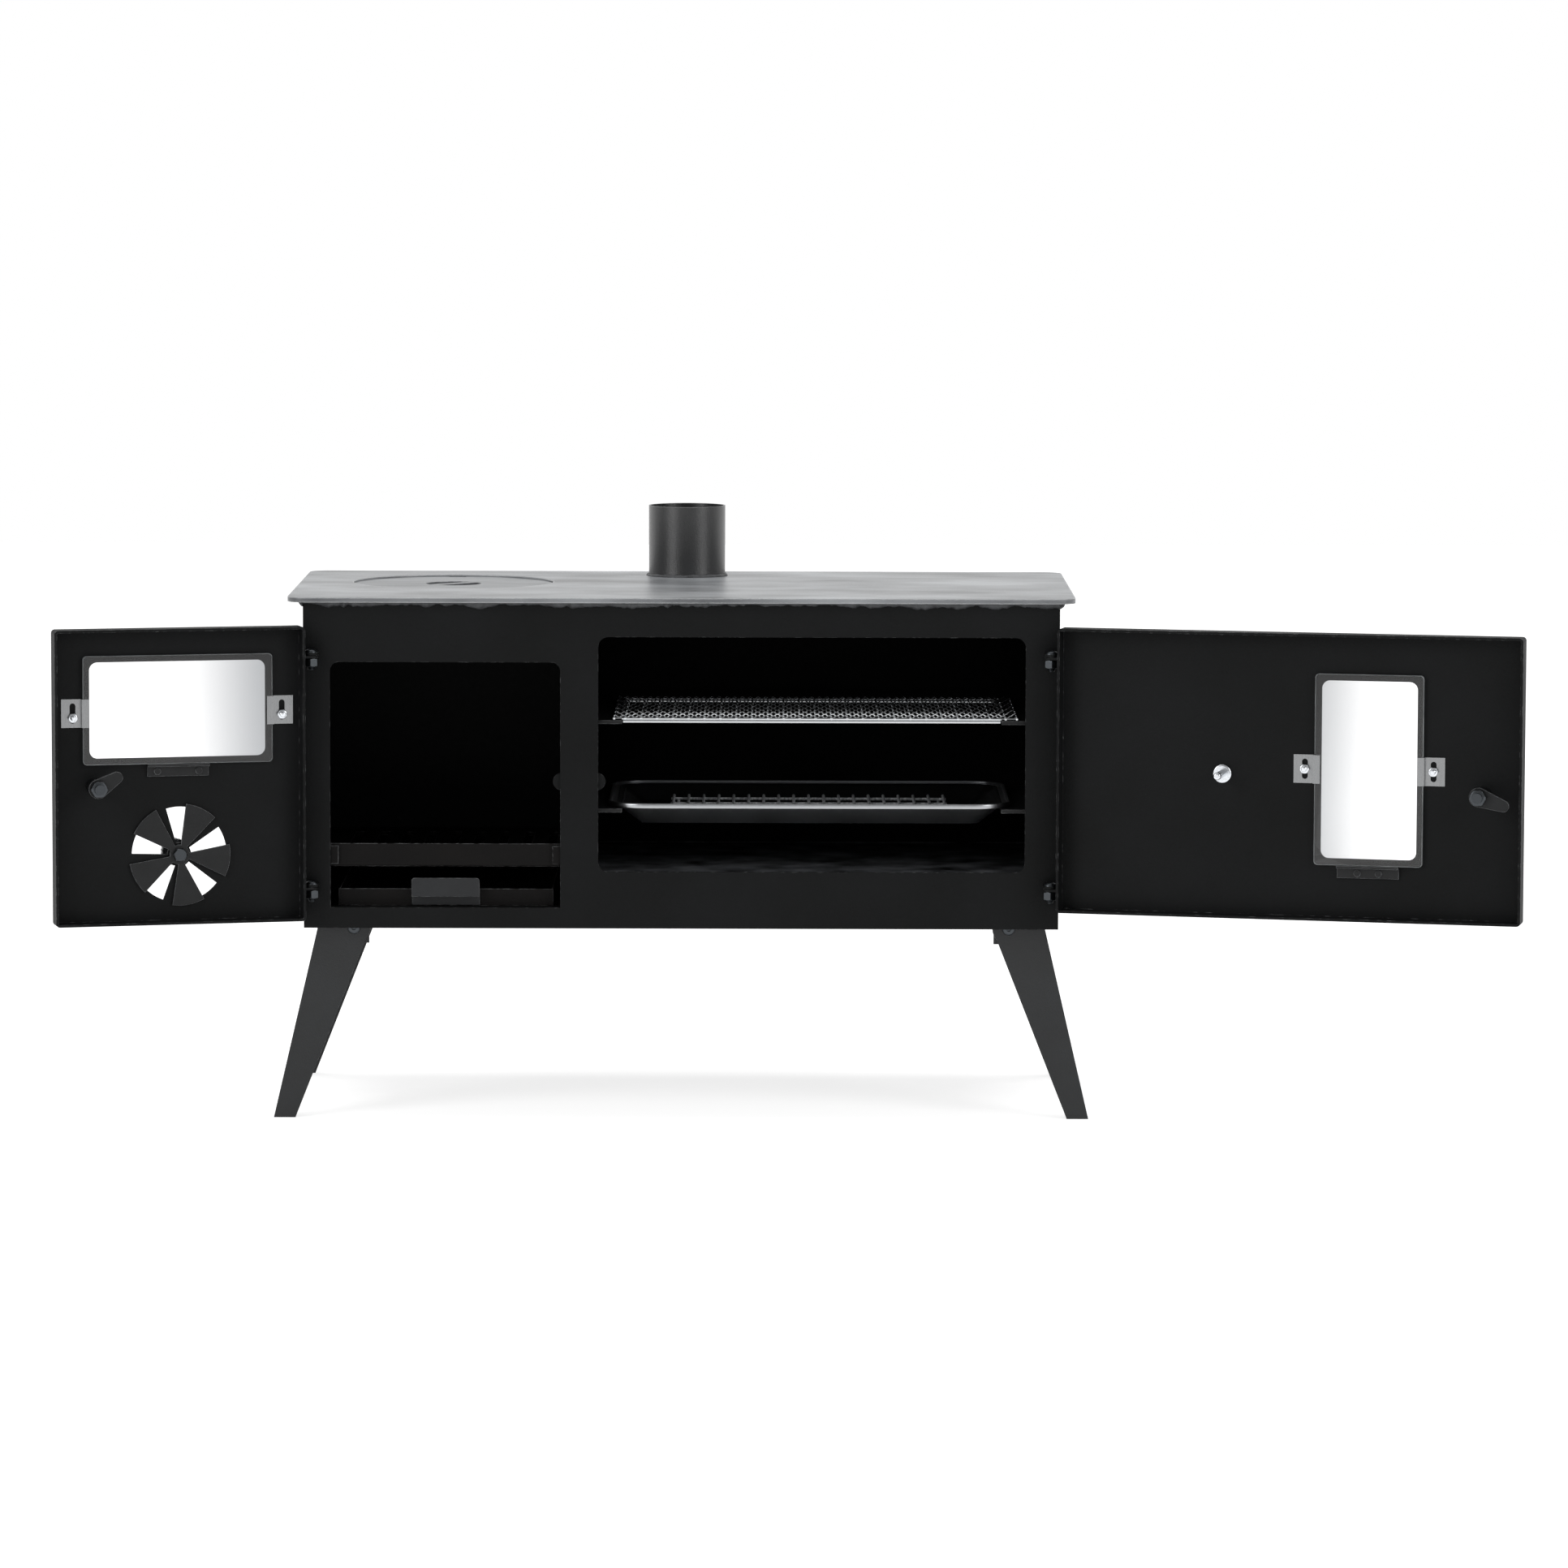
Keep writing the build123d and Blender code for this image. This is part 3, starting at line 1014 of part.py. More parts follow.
# Wire rack that stands in the roasting tray on its two end wires
tray_rack_foot = tray_base + TRAY_WALL + MOVING_GAP
rack_wire_z = tray_rack_foot + TRAY_RACK_FOOT + TRAY_RACK_WIRE / 2
tray_wire_count = int(TRAY_RACK_WIDTH // TRAY_RACK_PITCH)
wire_radius = TRAY_RACK_WIRE / 2
with BuildPart() as tray_rack:
    with BuildSketch(front_plane(tray_y - TRAY_RACK_DEPTH / 2)):
        with Locations((TRAY_X, rack_wire_z)):
            with GridLocations(TRAY_RACK_PITCH, 1, tray_wire_count, 1):
                Circle(wire_radius)
    extrude(amount=-TRAY_RACK_DEPTH)
    for share in (-1, -1 / 3, 1 / 3, 1):
        wire_y = tray_y + share * (TRAY_RACK_DEPTH / 2 - wire_radius)
        with BuildSketch(Plane.YZ.offset(TRAY_X - TRAY_RACK_WIDTH / 2)):
            with Locations((wire_y, rack_wire_z - 1.5 * wire_radius)):
                Circle(wire_radius)
        extrude(amount=TRAY_RACK_WIDTH)
    for side in (-1, 1):
        foot_x = TRAY_X + side * (TRAY_RACK_WIDTH / 2 - wire_radius)
        for share in (-1, 1):
            foot_y = tray_y + share * (TRAY_RACK_DEPTH / 2 - wire_radius)
            upright_rod(foot_x, foot_y, tray_rack_foot, 0.9 * wire_radius, TRAY_RACK_FOOT)
keep("tray_rack", tray_rack)

# Legs: tapered angle legs that fold inwards on one bolt each, in brackets under the floor
leg_top = LEG_BOLT_Z + LEG_RISE_PAST_BOLT
inner_foot = LEG_FOOT_OUTER - LEG_FOOT_WIDTH
with BuildPart() as leg_front_left:
    with BuildSketch(front_plane(LEG_FACE_Y)):
        with Locations((-LEG_BOLT_X, LEG_BOLT_Z)):
            Circle(LEG_TOP_ROUND)
        with BuildLine():
            Polyline(
                (-LEG_TOP_OUTER, leg_top),
                (-LEG_FOOT_OUTER, 0),
                (-inner_foot, 0),
                (-LEG_BOLT_X + LEG_TOP_ROUND, LEG_BOLT_Z),
                (-LEG_BOLT_X, leg_top),
                close=True,
            )
        make_face()
        with Locations((-LEG_BOLT_X, LEG_BOLT_Z)):
            Circle(LEG_BOLT_RADIUS + RUNNING_FIT, mode=Mode.SUBTRACT)
    extrude(amount=-LEG_SHEET)
    with BuildSketch(front_plane(LEG_FACE_Y)):
        with BuildLine():
            Polyline(
                (-LEG_TOP_OUTER, leg_top),
                (-LEG_FOOT_OUTER, 0),
                (-LEG_FOOT_OUTER + LEG_SHEET, 0),
                (-LEG_TOP_OUTER + LEG_SHEET, leg_top),
                close=True,
            )
        make_face()
    extrude(amount=-LEG_FLANGE_TOP)
    flange_back = LEG_FACE_Y + LEG_FLANGE_FOOT
    flange_growth = LEG_FLANGE_TOP - LEG_FLANGE_FOOT
    taper_plane = Plane(origin=(0, flange_back, 0), x_dir=(1, 0, 0), z_dir=(0, leg_top, -flange_growth))
    split(bisect_by=taper_plane, keep=Keep.BOTTOM)
keep("leg_front_left", leg_front_left)

with BuildPart() as leg_bolt:
    disc(-LEG_BOLT_X, LEG_BOLT_Z, LEG_FACE_Y - MOVING_GAP - LEG_HEAD_HEIGHT, LEG_BOLT_HEAD, LEG_HEAD_HEIGHT)
    head_edges = leg_bolt.edges().group_by(Axis.Y)[0]
    fillet(head_edges, LEG_HEAD_HEIGHT / 2)
    with BuildSketch(front_plane(LEG_FACE_Y - MOVING_GAP - LEG_HEAD_HEIGHT)):
        with Locations((-LEG_BOLT_X, LEG_BOLT_Z)):
            RegularPolygon(LEG_SOCKET_RADIUS, 6)
    extrude(amount=-LEG_SOCKET_DEPTH, mode=Mode.SUBTRACT)
    bolt_grip = MOVING_GAP + LEG_SHEET + MOVING_GAP + BRACKET_SHEET + LEG_NUT_HEIGHT + LEG_BOLT_SPARE
    disc(-LEG_BOLT_X, LEG_BOLT_Z, LEG_FACE_Y - MOVING_GAP, LEG_BOLT_RADIUS, bolt_grip)

with BuildPart() as leg_nut:
    with BuildSketch(front_plane(BRACKET_Y + BRACKET_SHEET)):
        with Locations((-LEG_BOLT_X, LEG_BOLT_Z)):
            RegularPolygon(LEG_NUT_FLATS / 2, 6, major_radius=False)
            Circle(LEG_BOLT_RADIUS, mode=Mode.SUBTRACT)
    extrude(amount=-LEG_NUT_HEIGHT)

with BuildPart() as leg_bracket:
    bracket_height = FLOOR_UNDER - (LEG_BOLT_Z - BRACKET_BELOW_BOLT)
    with BuildSketch(front_plane(BRACKET_Y)):
        with Locations((-LEG_BOLT_X, FLOOR_UNDER - bracket_height / 2)):
            Rectangle(BRACKET_WIDTH, bracket_height)
        with Locations((-LEG_BOLT_X, LEG_BOLT_Z)):
            Circle(LEG_BOLT_RADIUS, mode=Mode.SUBTRACT)
    extrude(amount=-BRACKET_SHEET)
    with BuildSketch(Plane.XY.offset(FLOOR_UNDER)):
        with Locations((-LEG_BOLT_X, BRACKET_Y + BRACKET_FOOT / 2)):
            Rectangle(BRACKET_WIDTH, BRACKET_FOOT)
    extrude(amount=-BRACKET_SHEET)

across = Plane.YZ
along = Plane(origin=(0, BODY_DEPTH / 2, 0), x_dir=(1, 0, 0), z_dir=(0, 1, 0))
legs = {"leg_front_right": (across,), "leg_back_left": (along,), "leg_back_right": (across, along)}
for name, planes in legs.items():
    with BuildPart() as leg:
        add(leg_front_left.part)
        for about in planes:
            mirror(about=about, mode=Mode.REPLACE)
    keep(name, leg)

for name, corner in (("leg_bolts", leg_bolt), ("leg_nuts", leg_nut), ("leg_brackets", leg_bracket)):
    with BuildPart() as corners:
        add(corner.part)
        mirror(about=across)
        mirror(about=along)
    keep(name, corners)

# Swing the doors open about their hinges, then centre the whole on its footprint
LEFT_HINGE = Axis((-HINGE_X, HINGE_Y, 0), (0, 0, 1))
RIGHT_HINGE = Axis((HINGE_X, HINGE_Y, 0), (0, 0, 1))
firebox_swing = [name for name in pieces if name.startswith(("firebox_", "vent_"))]
oven_swing = [
    name for name in pieces
    if name.startswith(("thermometer_", "oven_door", "oven_glass", "oven_clip", "oven_latch"))
]
for names, hinge, angle in (
    (firebox_swing, LEFT_HINGE, -FIREBOX_DOOR_OPEN),
    (oven_swing, RIGHT_HINGE, OVEN_DOOR_OPEN),
):
    for name in names:
        pieces[name] = pieces[name].rotate(hinge, angle)

boxes = [piece.bounding_box() for piece in pieces.values()]
origin_x = (min(box.min.X for box in boxes) + max(box.max.X for box in boxes)) / 2
origin_y = (min(box.min.Y for box in boxes) + max(box.max.Y for box in boxes)) / 2
for name, piece in pieces.items():
    placed = piece.moved(Location((-origin_x, -origin_y, 0)))
    placed.label = name
    export_step(placed, f"parts/{name}.step")
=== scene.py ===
import json
from math import cos, pi, radians, sin

import bmesh
import bpy
import numpy as np
from mathutils import Matrix, Vector


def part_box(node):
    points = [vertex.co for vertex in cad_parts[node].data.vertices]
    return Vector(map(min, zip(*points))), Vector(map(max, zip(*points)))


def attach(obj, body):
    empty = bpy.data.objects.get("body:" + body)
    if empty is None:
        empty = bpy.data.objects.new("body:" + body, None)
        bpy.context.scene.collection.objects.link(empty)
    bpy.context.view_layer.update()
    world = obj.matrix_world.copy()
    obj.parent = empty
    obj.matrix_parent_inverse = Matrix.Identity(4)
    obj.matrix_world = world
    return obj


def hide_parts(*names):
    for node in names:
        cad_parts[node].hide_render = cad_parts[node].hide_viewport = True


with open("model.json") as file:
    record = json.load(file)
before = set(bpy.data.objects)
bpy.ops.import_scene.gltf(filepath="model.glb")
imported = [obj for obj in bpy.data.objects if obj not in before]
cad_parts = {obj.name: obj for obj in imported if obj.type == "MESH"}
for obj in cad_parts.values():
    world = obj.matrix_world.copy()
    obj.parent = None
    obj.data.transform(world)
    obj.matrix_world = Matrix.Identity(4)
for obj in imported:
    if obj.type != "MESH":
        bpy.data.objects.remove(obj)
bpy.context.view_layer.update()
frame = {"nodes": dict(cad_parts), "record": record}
nodes = frame["nodes"]


# Studio: a plain pale floor and a white surround, with soft light from large panels.
# The floor is matt and keeps the stove's soft shadow; seen straight on, the surround is white.
def linear(hex_colour):
    """sRGB hex to linear light: a channel c is c / 12.92 when small, else ((c + 0.055) / 1.055) ** 2.4."""
    channel = np.array([int(hex_colour[place:place + 2], 16) for place in (1, 3, 5)]) / 255
    bent = np.where(channel <= 0.04045, channel / 12.92, ((channel + 0.055) / 1.055) ** 2.4)
    return (*bent.tolist(), 1.0)


def add_node(tree, kind, inputs=None, **options):
    """Adds one shader node with its options; each input gets a value, or a link from another socket."""
    node = tree.nodes.new("ShaderNode" + kind)
    for name, value in options.items():
        setattr(node, name, value)
    for name, value in (inputs or {}).items():
        if isinstance(value, bpy.types.NodeSocket):
            tree.links.new(value, node.inputs[name])
        else:
            node.inputs[name].default_value = value
    return node


def new_material(name):
    """An empty node material and its tree."""
    material = bpy.data.materials.new(name)
    material.use_nodes = True
    material.node_tree.nodes.clear()
    return material, material.node_tree


def seen_white(tree, mirrored=1.0):
    """1 for camera and see-through rays, mirrored for mirror rays, 0 for the rays that light surfaces."""
    path = add_node(tree, "LightPath")
    shown = add_node(
        tree, "Math", {0: path.outputs["Is Camera Ray"], 1: path.outputs["Is Transmission Ray"]},
        operation="MAXIMUM",
    )
    mirror = add_node(
        tree, "Math", {0: path.outputs["Is Glossy Ray"], 1: mirrored}, operation="MULTIPLY"
    )
    return add_node(
        tree, "Math", {0: shown.outputs[0], 1: mirror.outputs[0]}, operation="MAXIMUM"
    ).outputs[0]


STUDIO_FLOOR_SIDE = 14.0
floor_corners = STUDIO_FLOOR_SIDE * np.array([[-1, -1, 0], [1, -1, 0], [1, 1, 0], [-1, 1, 0]]) / 2
floor_mesh = bpy.data.meshes.new("studio_floor")
floor_mesh.from_pydata(floor_corners.tolist(), [], [(0, 1, 2, 3)])
studio_floor = bpy.data.objects.new("studio_floor", floor_mesh)
bpy.context.scene.collection.objects.link(studio_floor)
floor_paint, tree = new_material("matt white studio floor")
floor_matt = add_node(tree, "BsdfDiffuse", {"Color": linear("#e6e6e6")})
floor_place = add_node(tree, "TexCoord").outputs["Object"]
floor_reach = add_node(tree, "VectorMath", {0: floor_place}, operation="LENGTH").outputs["Value"]
floor_fade = add_node(
    tree, "MapRange",
    {"Value": floor_reach, "From Min": 0.9, "From Max": 2.6, "To Min": 0.7, "To Max": 1.0},
    interpolation_type="SMOOTHSTEP",
)
floor_glow = add_node(
    tree, "Emission", {"Color": linear("#ffffff"), "Strength": floor_fade.outputs["Result"]}
)
floor_sum = add_node(tree, "AddShader", {0: floor_matt.outputs[0], 1: floor_glow.outputs[0]})
floor_mix = add_node(
    tree, "MixShader", {0: seen_white(tree), 1: floor_matt.outputs[0], 2: floor_sum.outputs[0]}
)
add_node(tree, "OutputMaterial", {"Surface": floor_mix.outputs[0]})
floor_mesh.materials.append(floor_paint)

bpy.context.scene.view_settings.view_transform = "Standard"
world = bpy.data.worlds.new("white surround")
bpy.context.scene.world = world
world.use_nodes = True
tree = world.node_tree
tree.nodes.clear()
way = add_node(tree, "TexCoord").outputs["Generated"]
depth = add_node(tree, "SeparateXYZ", {0: way}).outputs["Y"]
backdrop = add_node(tree, "MapRange", {"Value": depth, "From Min": -0.2, "From Max": 0.6, "To Min": 0.1})
dim = add_node(tree, "Background", {"Color": linear("#ffffff"), "Strength": 0.3})
white = add_node(tree, "Background", {"Color": linear("#ffffff"), "Strength": 1.0})
seen = seen_white(tree, backdrop.outputs["Result"])
surround = add_node(tree, "MixShader", {0: seen, 1: dim.outputs[0], 2: white.outputs[0]})
add_node(tree, "OutputWorld", {"Surface": surround.outputs[0]})


def soft_panel(name, place, target, width, height, watts):
    """A rectangular lamp at a place, turned to shine at a target."""
    lamp = bpy.data.lights.new(name, "AREA")
    lamp.shape = "RECTANGLE"
    lamp.size = width
    lamp.size_y = height
    lamp.energy = watts
    panel = bpy.data.objects.new(name, lamp)
    panel.location = place
    panel.rotation_euler = (Vector(target) - Vector(place)).to_track_quat("-Z", "Y").to_euler()
    bpy.context.scene.collection.objects.link(panel)


soft_panel("left panel", (-2.6, -2.4, 1.6), (0, 0, 0.3), 1.6, 2.2, 42)
soft_panel("right panel", (2.6, -2.2, 1.6), (0, 0, 0.3), 1.6, 2.2, 36)
soft_panel("top panel", (0, 0.2, 2.8), (0, 0, 0.3), 3.0, 1.6, 34)

# Camera: a long lens straight in front of the stove, a little above the hob.
# Its place is counted from the hob plate's middle and front edge.
MM = 0.001
plate_low, plate_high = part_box("top_plate")
CAMERA_FROM_PLATE_MIDDLE = 66.85 * MM
CAMERA_FROM_PLATE_FRONT = -5719.17 * MM
CAMERA_HEIGHT = 833.58 * MM
CAMERA_YAW = radians(0.147)
CAMERA_PITCH = radians(5.61)
CAMERA_ROLL = radians(0.16)
CAMERA_SENSOR = 36.0
CAMERA_LENS = 166.43
camera_data = bpy.data.cameras.new("camera")
camera_data.sensor_width = CAMERA_SENSOR
camera_data.lens = CAMERA_LENS
camera = bpy.data.objects.new("camera", camera_data)
bpy.context.scene.collection.objects.link(camera)
camera_place = (
    (plate_low.x + plate_high.x) / 2 + CAMERA_FROM_PLATE_MIDDLE,
    plate_low.y + CAMERA_FROM_PLATE_FRONT,
    CAMERA_HEIGHT,
)
camera.matrix_world = (
    Matrix.Translation(camera_place)
    @ Matrix.Rotation(-CAMERA_YAW, 4, "Z")
    @ Matrix.Rotation(pi / 2 - CAMERA_PITCH, 4, "X")
    @ Matrix.Rotation(CAMERA_ROLL, 4, "Z")
)
bpy.context.scene.camera = camera


# Body, doors, legs and brackets: bent and welded mild steel sheet, sprayed with matt
# high-temperature paint. The paint dries to a fine sandy grain with faint cloudy patches.
def dress(material, *names):
    """Puts one material on these pieces of the stove's model."""
    for name in names:
        mesh = nodes[name].data
        mesh.materials.clear()
        mesh.materials.append(material)


def stove_paint(
    name, dark, light, roughness, grain_mm, grain_depth,
    cloud_mm=90.0, shine=0.5, streaks=(1, 1, 1), bare="#8f9192", worn=0.0, worn_mm=0.8, sheen_below=None,
):
    """
    Sprayed paint. Clouds mix two tones, and fine noise gives the grain its bump and gloss. Below a
    height, where one is given, lighter grey patches are a painted sheen. At an edge the rounded normal
    leaves the flat one, and chips show bare metal there: wear grows with 1 - rounded . flat, up to worn,
    and a coarse noise cuts it up.
    """
    material, tree = new_material(name)
    place = add_node(tree, "TexCoord").outputs["Object"]
    drawn_out = add_node(tree, "Mapping", {"Vector": place, "Scale": streaks})
    clouds = add_node(
        tree, "TexNoise", {"Vector": drawn_out.outputs[0], "Scale": 1 / (cloud_mm * MM), "Detail": 5.0}
    )
    spread = add_node(tree, "MapRange", {"Value": clouds.outputs["Fac"], "From Min": 0.3, "From Max": 0.7})
    grain = add_node(tree, "TexNoise", {"Vector": place, "Scale": 1 / (grain_mm * MM), "Detail": 2.0})
    tone = add_node(
        tree, "Mix", {"Factor": spread.outputs["Result"], "A": linear(dark), "B": linear(light)},
        data_type="RGBA",
    )
    colour = tone.outputs["Result"]
    # Painted sheen: lighter grey patches below a height, where one is given.
    if sheen_below is not None:
        height = add_node(tree, "SeparateXYZ", {0: place}).outputs["Z"]
        sheen_height_share = add_node(
            tree, "MapRange",
            {"Value": height, "From Min": sheen_below + 1 * MM, "From Max": sheen_below, "To Max": 0.8},
        )
        patchy = add_node(
            tree, "Math", {0: sheen_height_share.outputs[0], 1: spread.outputs["Result"]}, operation="MULTIPLY"
        )
        colour = add_node(
            tree, "Mix", {"Factor": patchy.outputs[0], "A": colour, "B": linear("#56585b")}, data_type="RGBA"
        ).outputs["Result"]
    bend = add_node(tree, "Bevel", {"Radius": worn_mm * MM}, samples=4)
    if worn:
        flat = add_node(tree, "NewGeometry").outputs["Normal"]
        turn = add_node(tree, "VectorMath", {0: bend.outputs["Normal"], 1: flat}, operation="DOT_PRODUCT")
        edge = add_node(
            tree, "MapRange",
            {"Value": turn.outputs["Value"], "From Min": 1.0, "From Max": 0.86, "To Max": worn},
        )
        chips = add_node(tree, "TexNoise", {"Vector": place, "Scale": 1 / (5 * MM), "Detail": 4.0})
        chipped = add_node(tree, "Math", {0: edge.outputs[0], 1: chips.outputs["Fac"]}, operation="ADD")
        mask = add_node(
            tree, "MapRange", {"Value": chipped.outputs[0], "From Min": 0.85, "From Max": 1.1}
        )
        colour = add_node(
            tree, "Mix", {"Factor": mask.outputs["Result"], "A": colour, "B": linear(bare)},
            data_type="RGBA",
        ).outputs["Result"]
    gloss = add_node(
        tree, "MapRange",
        {"Value": grain.outputs["Fac"], "To Min": roughness - 0.08, "To Max": roughness + 0.08},
    )
    bump = add_node(
        tree, "Bump",
        {
            "Height": grain.outputs["Fac"],
            "Strength": grain_depth,
            "Distance": 0.25 * grain_mm * MM,
            "Normal": bend.outputs["Normal"],
        },
    )
    paint = add_node(
        tree, "BsdfPrincipled",
        {
            "Base Color": colour,
            "Roughness": gloss.outputs["Result"],
            "Normal": bump.outputs["Normal"],
            "IOR": 1.5,
            "Specular IOR Level": shine,
        },
    )
    add_node(tree, "OutputMaterial", {"Surface": paint.outputs[0]})
    return material


black_paint = stove_paint(
    "matt black high-temperature paint", "#0a0b0b", "#121314", 0.6, 1.1, 0.5, shine=0.14, worn=0.35
)
dress(
    black_paint,
    "body_shell", "face_plate", "firebox_door_pan", "oven_door_pan",
    "firebox_door_lugs", "oven_door_lugs", "hinge_lugs_body", "latch_catch",
)

# Oven box and its rails: the same sheet and paint. The oven box is darker than the body, a painted shade, so
# that almost no light comes back from inside; the lighter patches on its floor are a painted sheen.
oven_shade_paint = stove_paint(
    "black oven paint darkened as painted shade", "#030303", "#060606", 0.7, 1.2, 0.5,
    cloud_mm=28, shine=0.05, sheen_below=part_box("oven_box")[0].z + 2 * MM,
)
rail_paint = stove_paint("black paint of the rails", "#08090a", "#0e0f10", 0.5, 1.0, 0.4, shine=0.3, worn=0.5)
sill_paint = stove_paint("black paint of the floor", "#080909", "#0e0f0f", 0.5, 1.2, 0.4, shine=0.25)
dress(oven_shade_paint, "oven_box")
dress(rail_paint, "rack_rails")
dress(sill_paint, "floor_plate")

# Legs and their brackets: folded sheet with a slightly glossier coat, and a lighter tone that is a painted
# reflection of the floor. The vent disc, latch pawls and glass ledges have the same coat, rubbed by use;
# their lighter tone and bright edges are also a painted highlight.
leg_paint_with_floor_reflection = stove_paint(
    "satin black leg paint with painted floor reflection", "#141516", "#1f2123", 0.42, 1.0, 0.4, cloud_mm=50, shine=0.45, worn=0.4
)
dress(leg_paint_with_floor_reflection, "leg_front_left", "leg_front_right", "leg_back_left", "leg_back_right", "leg_brackets")
# Painted highlight: the fittings' lighter tone and bright edges, along with their real rubbing.
fitting_paint_with_highlight = stove_paint(
    "rubbed black paint of the door fittings", "#0e0f10", "#18191a", 0.45, 1.0, 0.5,
    cloud_mm=14, shine=0.3, bare="#8b8d8f", worn=0.6,
)
dress(
    fitting_paint_with_highlight, "vent_disc", "firebox_glass_ledge", "oven_glass_ledge",
    "firebox_latch_pawl", "oven_latch_pawl",
)

# Firebox fittings: grate, ledges, log retainer and ash tray with its handle, bent from painted sheet.
# They are a shade duller than the body and rubbed at their edges, and the handle is a shade lighter.
firebox_paint = stove_paint(
    "painted firebox steel", "#080707", "#0f0d0c", 0.65, 1.4, 0.5, cloud_mm=35, shine=0.14, worn=0.5
)
ash_paint = stove_paint(
    "painted ash handle steel", "#1c1d1f", "#232527", 0.55, 1.2, 0.4, cloud_mm=30, shine=0.35, worn=0.5
)
dress(firebox_paint, "fire_grate", "grate_ledges", "log_retainer", "ash_tray")
dress(ash_paint, "ash_handle")

# Hob plate and cooking lid: thick steel plate, painted grey with lighter long cloudy streaks, a painted
# reflection of the bright surround on dark paint; its edges are chipped bright. The ring and its well are
# near black.
hob_reflection_paint = stove_paint(
    "grey hob paint as painted reflection", "#4c4e51", "#a0a3a6", 0.34, 1.6, 0.3,
    cloud_mm=60, shine=0.65, streaks=(0.55, 1.1, 1), bare="#e2e4e5", worn=0.72, worn_mm=1.8,
)
# Painted reflection: the lid's grey tones stand in for its grazing sheen, like the plate's.
lid_reflection_paint = stove_paint(
    "grey lid paint as painted reflection", "#56585b", "#8c8f92", 0.36, 1.6, 0.3,
    cloud_mm=40, shine=0.62, streaks=(0.5, 1.6, 1), bare="#b9bbbc", worn=0.5, worn_mm=1.2,
)
ring_paint = stove_paint("near-black lid ring paint", "#121213", "#1b1b1c", 0.6, 1.4, 0.4, shine=0.2)
dress(hob_reflection_paint, "top_plate")
dress(lid_reflection_paint, "cooking_lid")
dress(ring_paint, "lid_ring", "lid_well")

# Flue collar: a short length of steel tube, painted satin black, open at the top.
# The round wall shows the bright room at its sides and the dark camera side in its middle.
collar_paint = stove_paint(
    "satin black collar paint", "#0e0f10", "#17181a", 0.33, 1.0, 0.5,
    cloud_mm=12, shine=0.9, worn=0.55, worn_mm=0.6,
)
dress(collar_paint, "flue_collar")


# Weld under the hob plate: one long hand-run bead round the top of the body, painted over.
# It is lumpy, with a ripple at each small step of the torch.
SHARP_EDGE = radians(35)


def surface(name, grids, material, body, ring_rows=False, ring_columns=False, caps=False):
    """
    One smooth mesh from grids of points. Rows or columns may close into rings, and the first and
    last rows into caps. Faces are turned outwards, and edges over 35 degrees stay sharp.
    """
    faces = []
    first = 0
    for grid in grids:
        rows, columns = grid.shape[:2]
        index = first + np.arange(rows * columns).reshape(rows, columns)
        first += rows * columns
        if caps:
            faces += [index[0].tolist(), index[-1].tolist()]
        if ring_rows:
            index = np.vstack([index, index[:1]])
        if ring_columns:
            index = np.hstack([index, index[:, :1]])
        quads = np.stack([index[:-1, :-1], index[1:, :-1], index[1:, 1:], index[:-1, 1:]], axis=-1)
        faces += quads.reshape(-1, 4).tolist()
    mesh = bpy.data.meshes.new(name)
    mesh.from_pydata(np.vstack([grid.reshape(-1, 3) for grid in grids]).tolist(), [], faces)
    shell = bmesh.new()
    shell.from_mesh(mesh)
    bmesh.ops.recalc_face_normals(shell, faces=shell.faces)
    shell.to_mesh(mesh)
    shell.free()
    mesh.shade_smooth()
    mesh.set_sharp_from_angle(angle=SHARP_EDGE)
    mesh.materials.append(material)
    piece = bpy.data.objects.new(name, mesh)
    bpy.context.scene.collection.objects.link(piece)
    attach(piece, body)
    return piece


def ragged(count, spread):
    """Smooth random lumps: white noise blurred over a number of points, about one high."""
    window = np.hanning(spread + 2)[1:-1]
    noise = rng.normal(0, 1, count + spread - 1)
    return np.convolve(noise, window / np.sqrt((window ** 2).sum()), "valid")


rng = np.random.default_rng(7)
WELD_LEG = 3.4 * MM
WELD_STEP = 2.4 * MM
WELD_LUMPS = 0.8 * MM
WELD_SMALL_LUMPS = 0.6
WELD_RIPPLE = 0.3 * WELD_LUMPS
WELD_LUMP_SPREAD = 40
WELD_SMALL_SPREAD = 9
WELD_LEAST = 1.6 * MM
WELD_MOST = 5.6 * MM
POINTS_PER_WELD_STEP = 3
shell_low, shell_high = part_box("body_shell")
face_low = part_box("face_plate")[0]
wall_corners = np.array(
    [
        [shell_low.x, face_low.y], [shell_high.x, face_low.y],
        [shell_high.x, shell_high.y], [shell_low.x, shell_high.y],
    ]
)
weld_base = []
weld_out = []
for corner in range(4):
    start = wall_corners[corner]
    end = wall_corners[(corner + 1) % 4]
    side_length = np.linalg.norm(end - start)
    along = (end - start) / side_length
    outward = np.array([along[1], -along[0]])
    share = np.linspace(0, 1, int(side_length / WELD_STEP * POINTS_PER_WELD_STEP))[:, None]
    weld_base.append(start + share * (end - start))
    weld_out.append(np.repeat(outward[None], len(share), axis=0))
    turn = np.linspace(0, pi / 2, 8)[1:-1, None]
    weld_base.append(np.repeat(end[None], len(turn), axis=0))
    weld_out.append(outward * np.cos(turn) + along * np.sin(turn))
weld_base = np.vstack(weld_base)
weld_out = np.vstack(weld_out)
travel = np.cumsum(np.r_[0, np.linalg.norm(np.diff(weld_base, axis=0), axis=1)])
lumps = ragged(len(travel), WELD_LUMP_SPREAD) + WELD_SMALL_LUMPS * ragged(len(travel), WELD_SMALL_SPREAD)
ripple = WELD_RIPPLE * np.abs(np.sin(pi * travel / WELD_STEP))
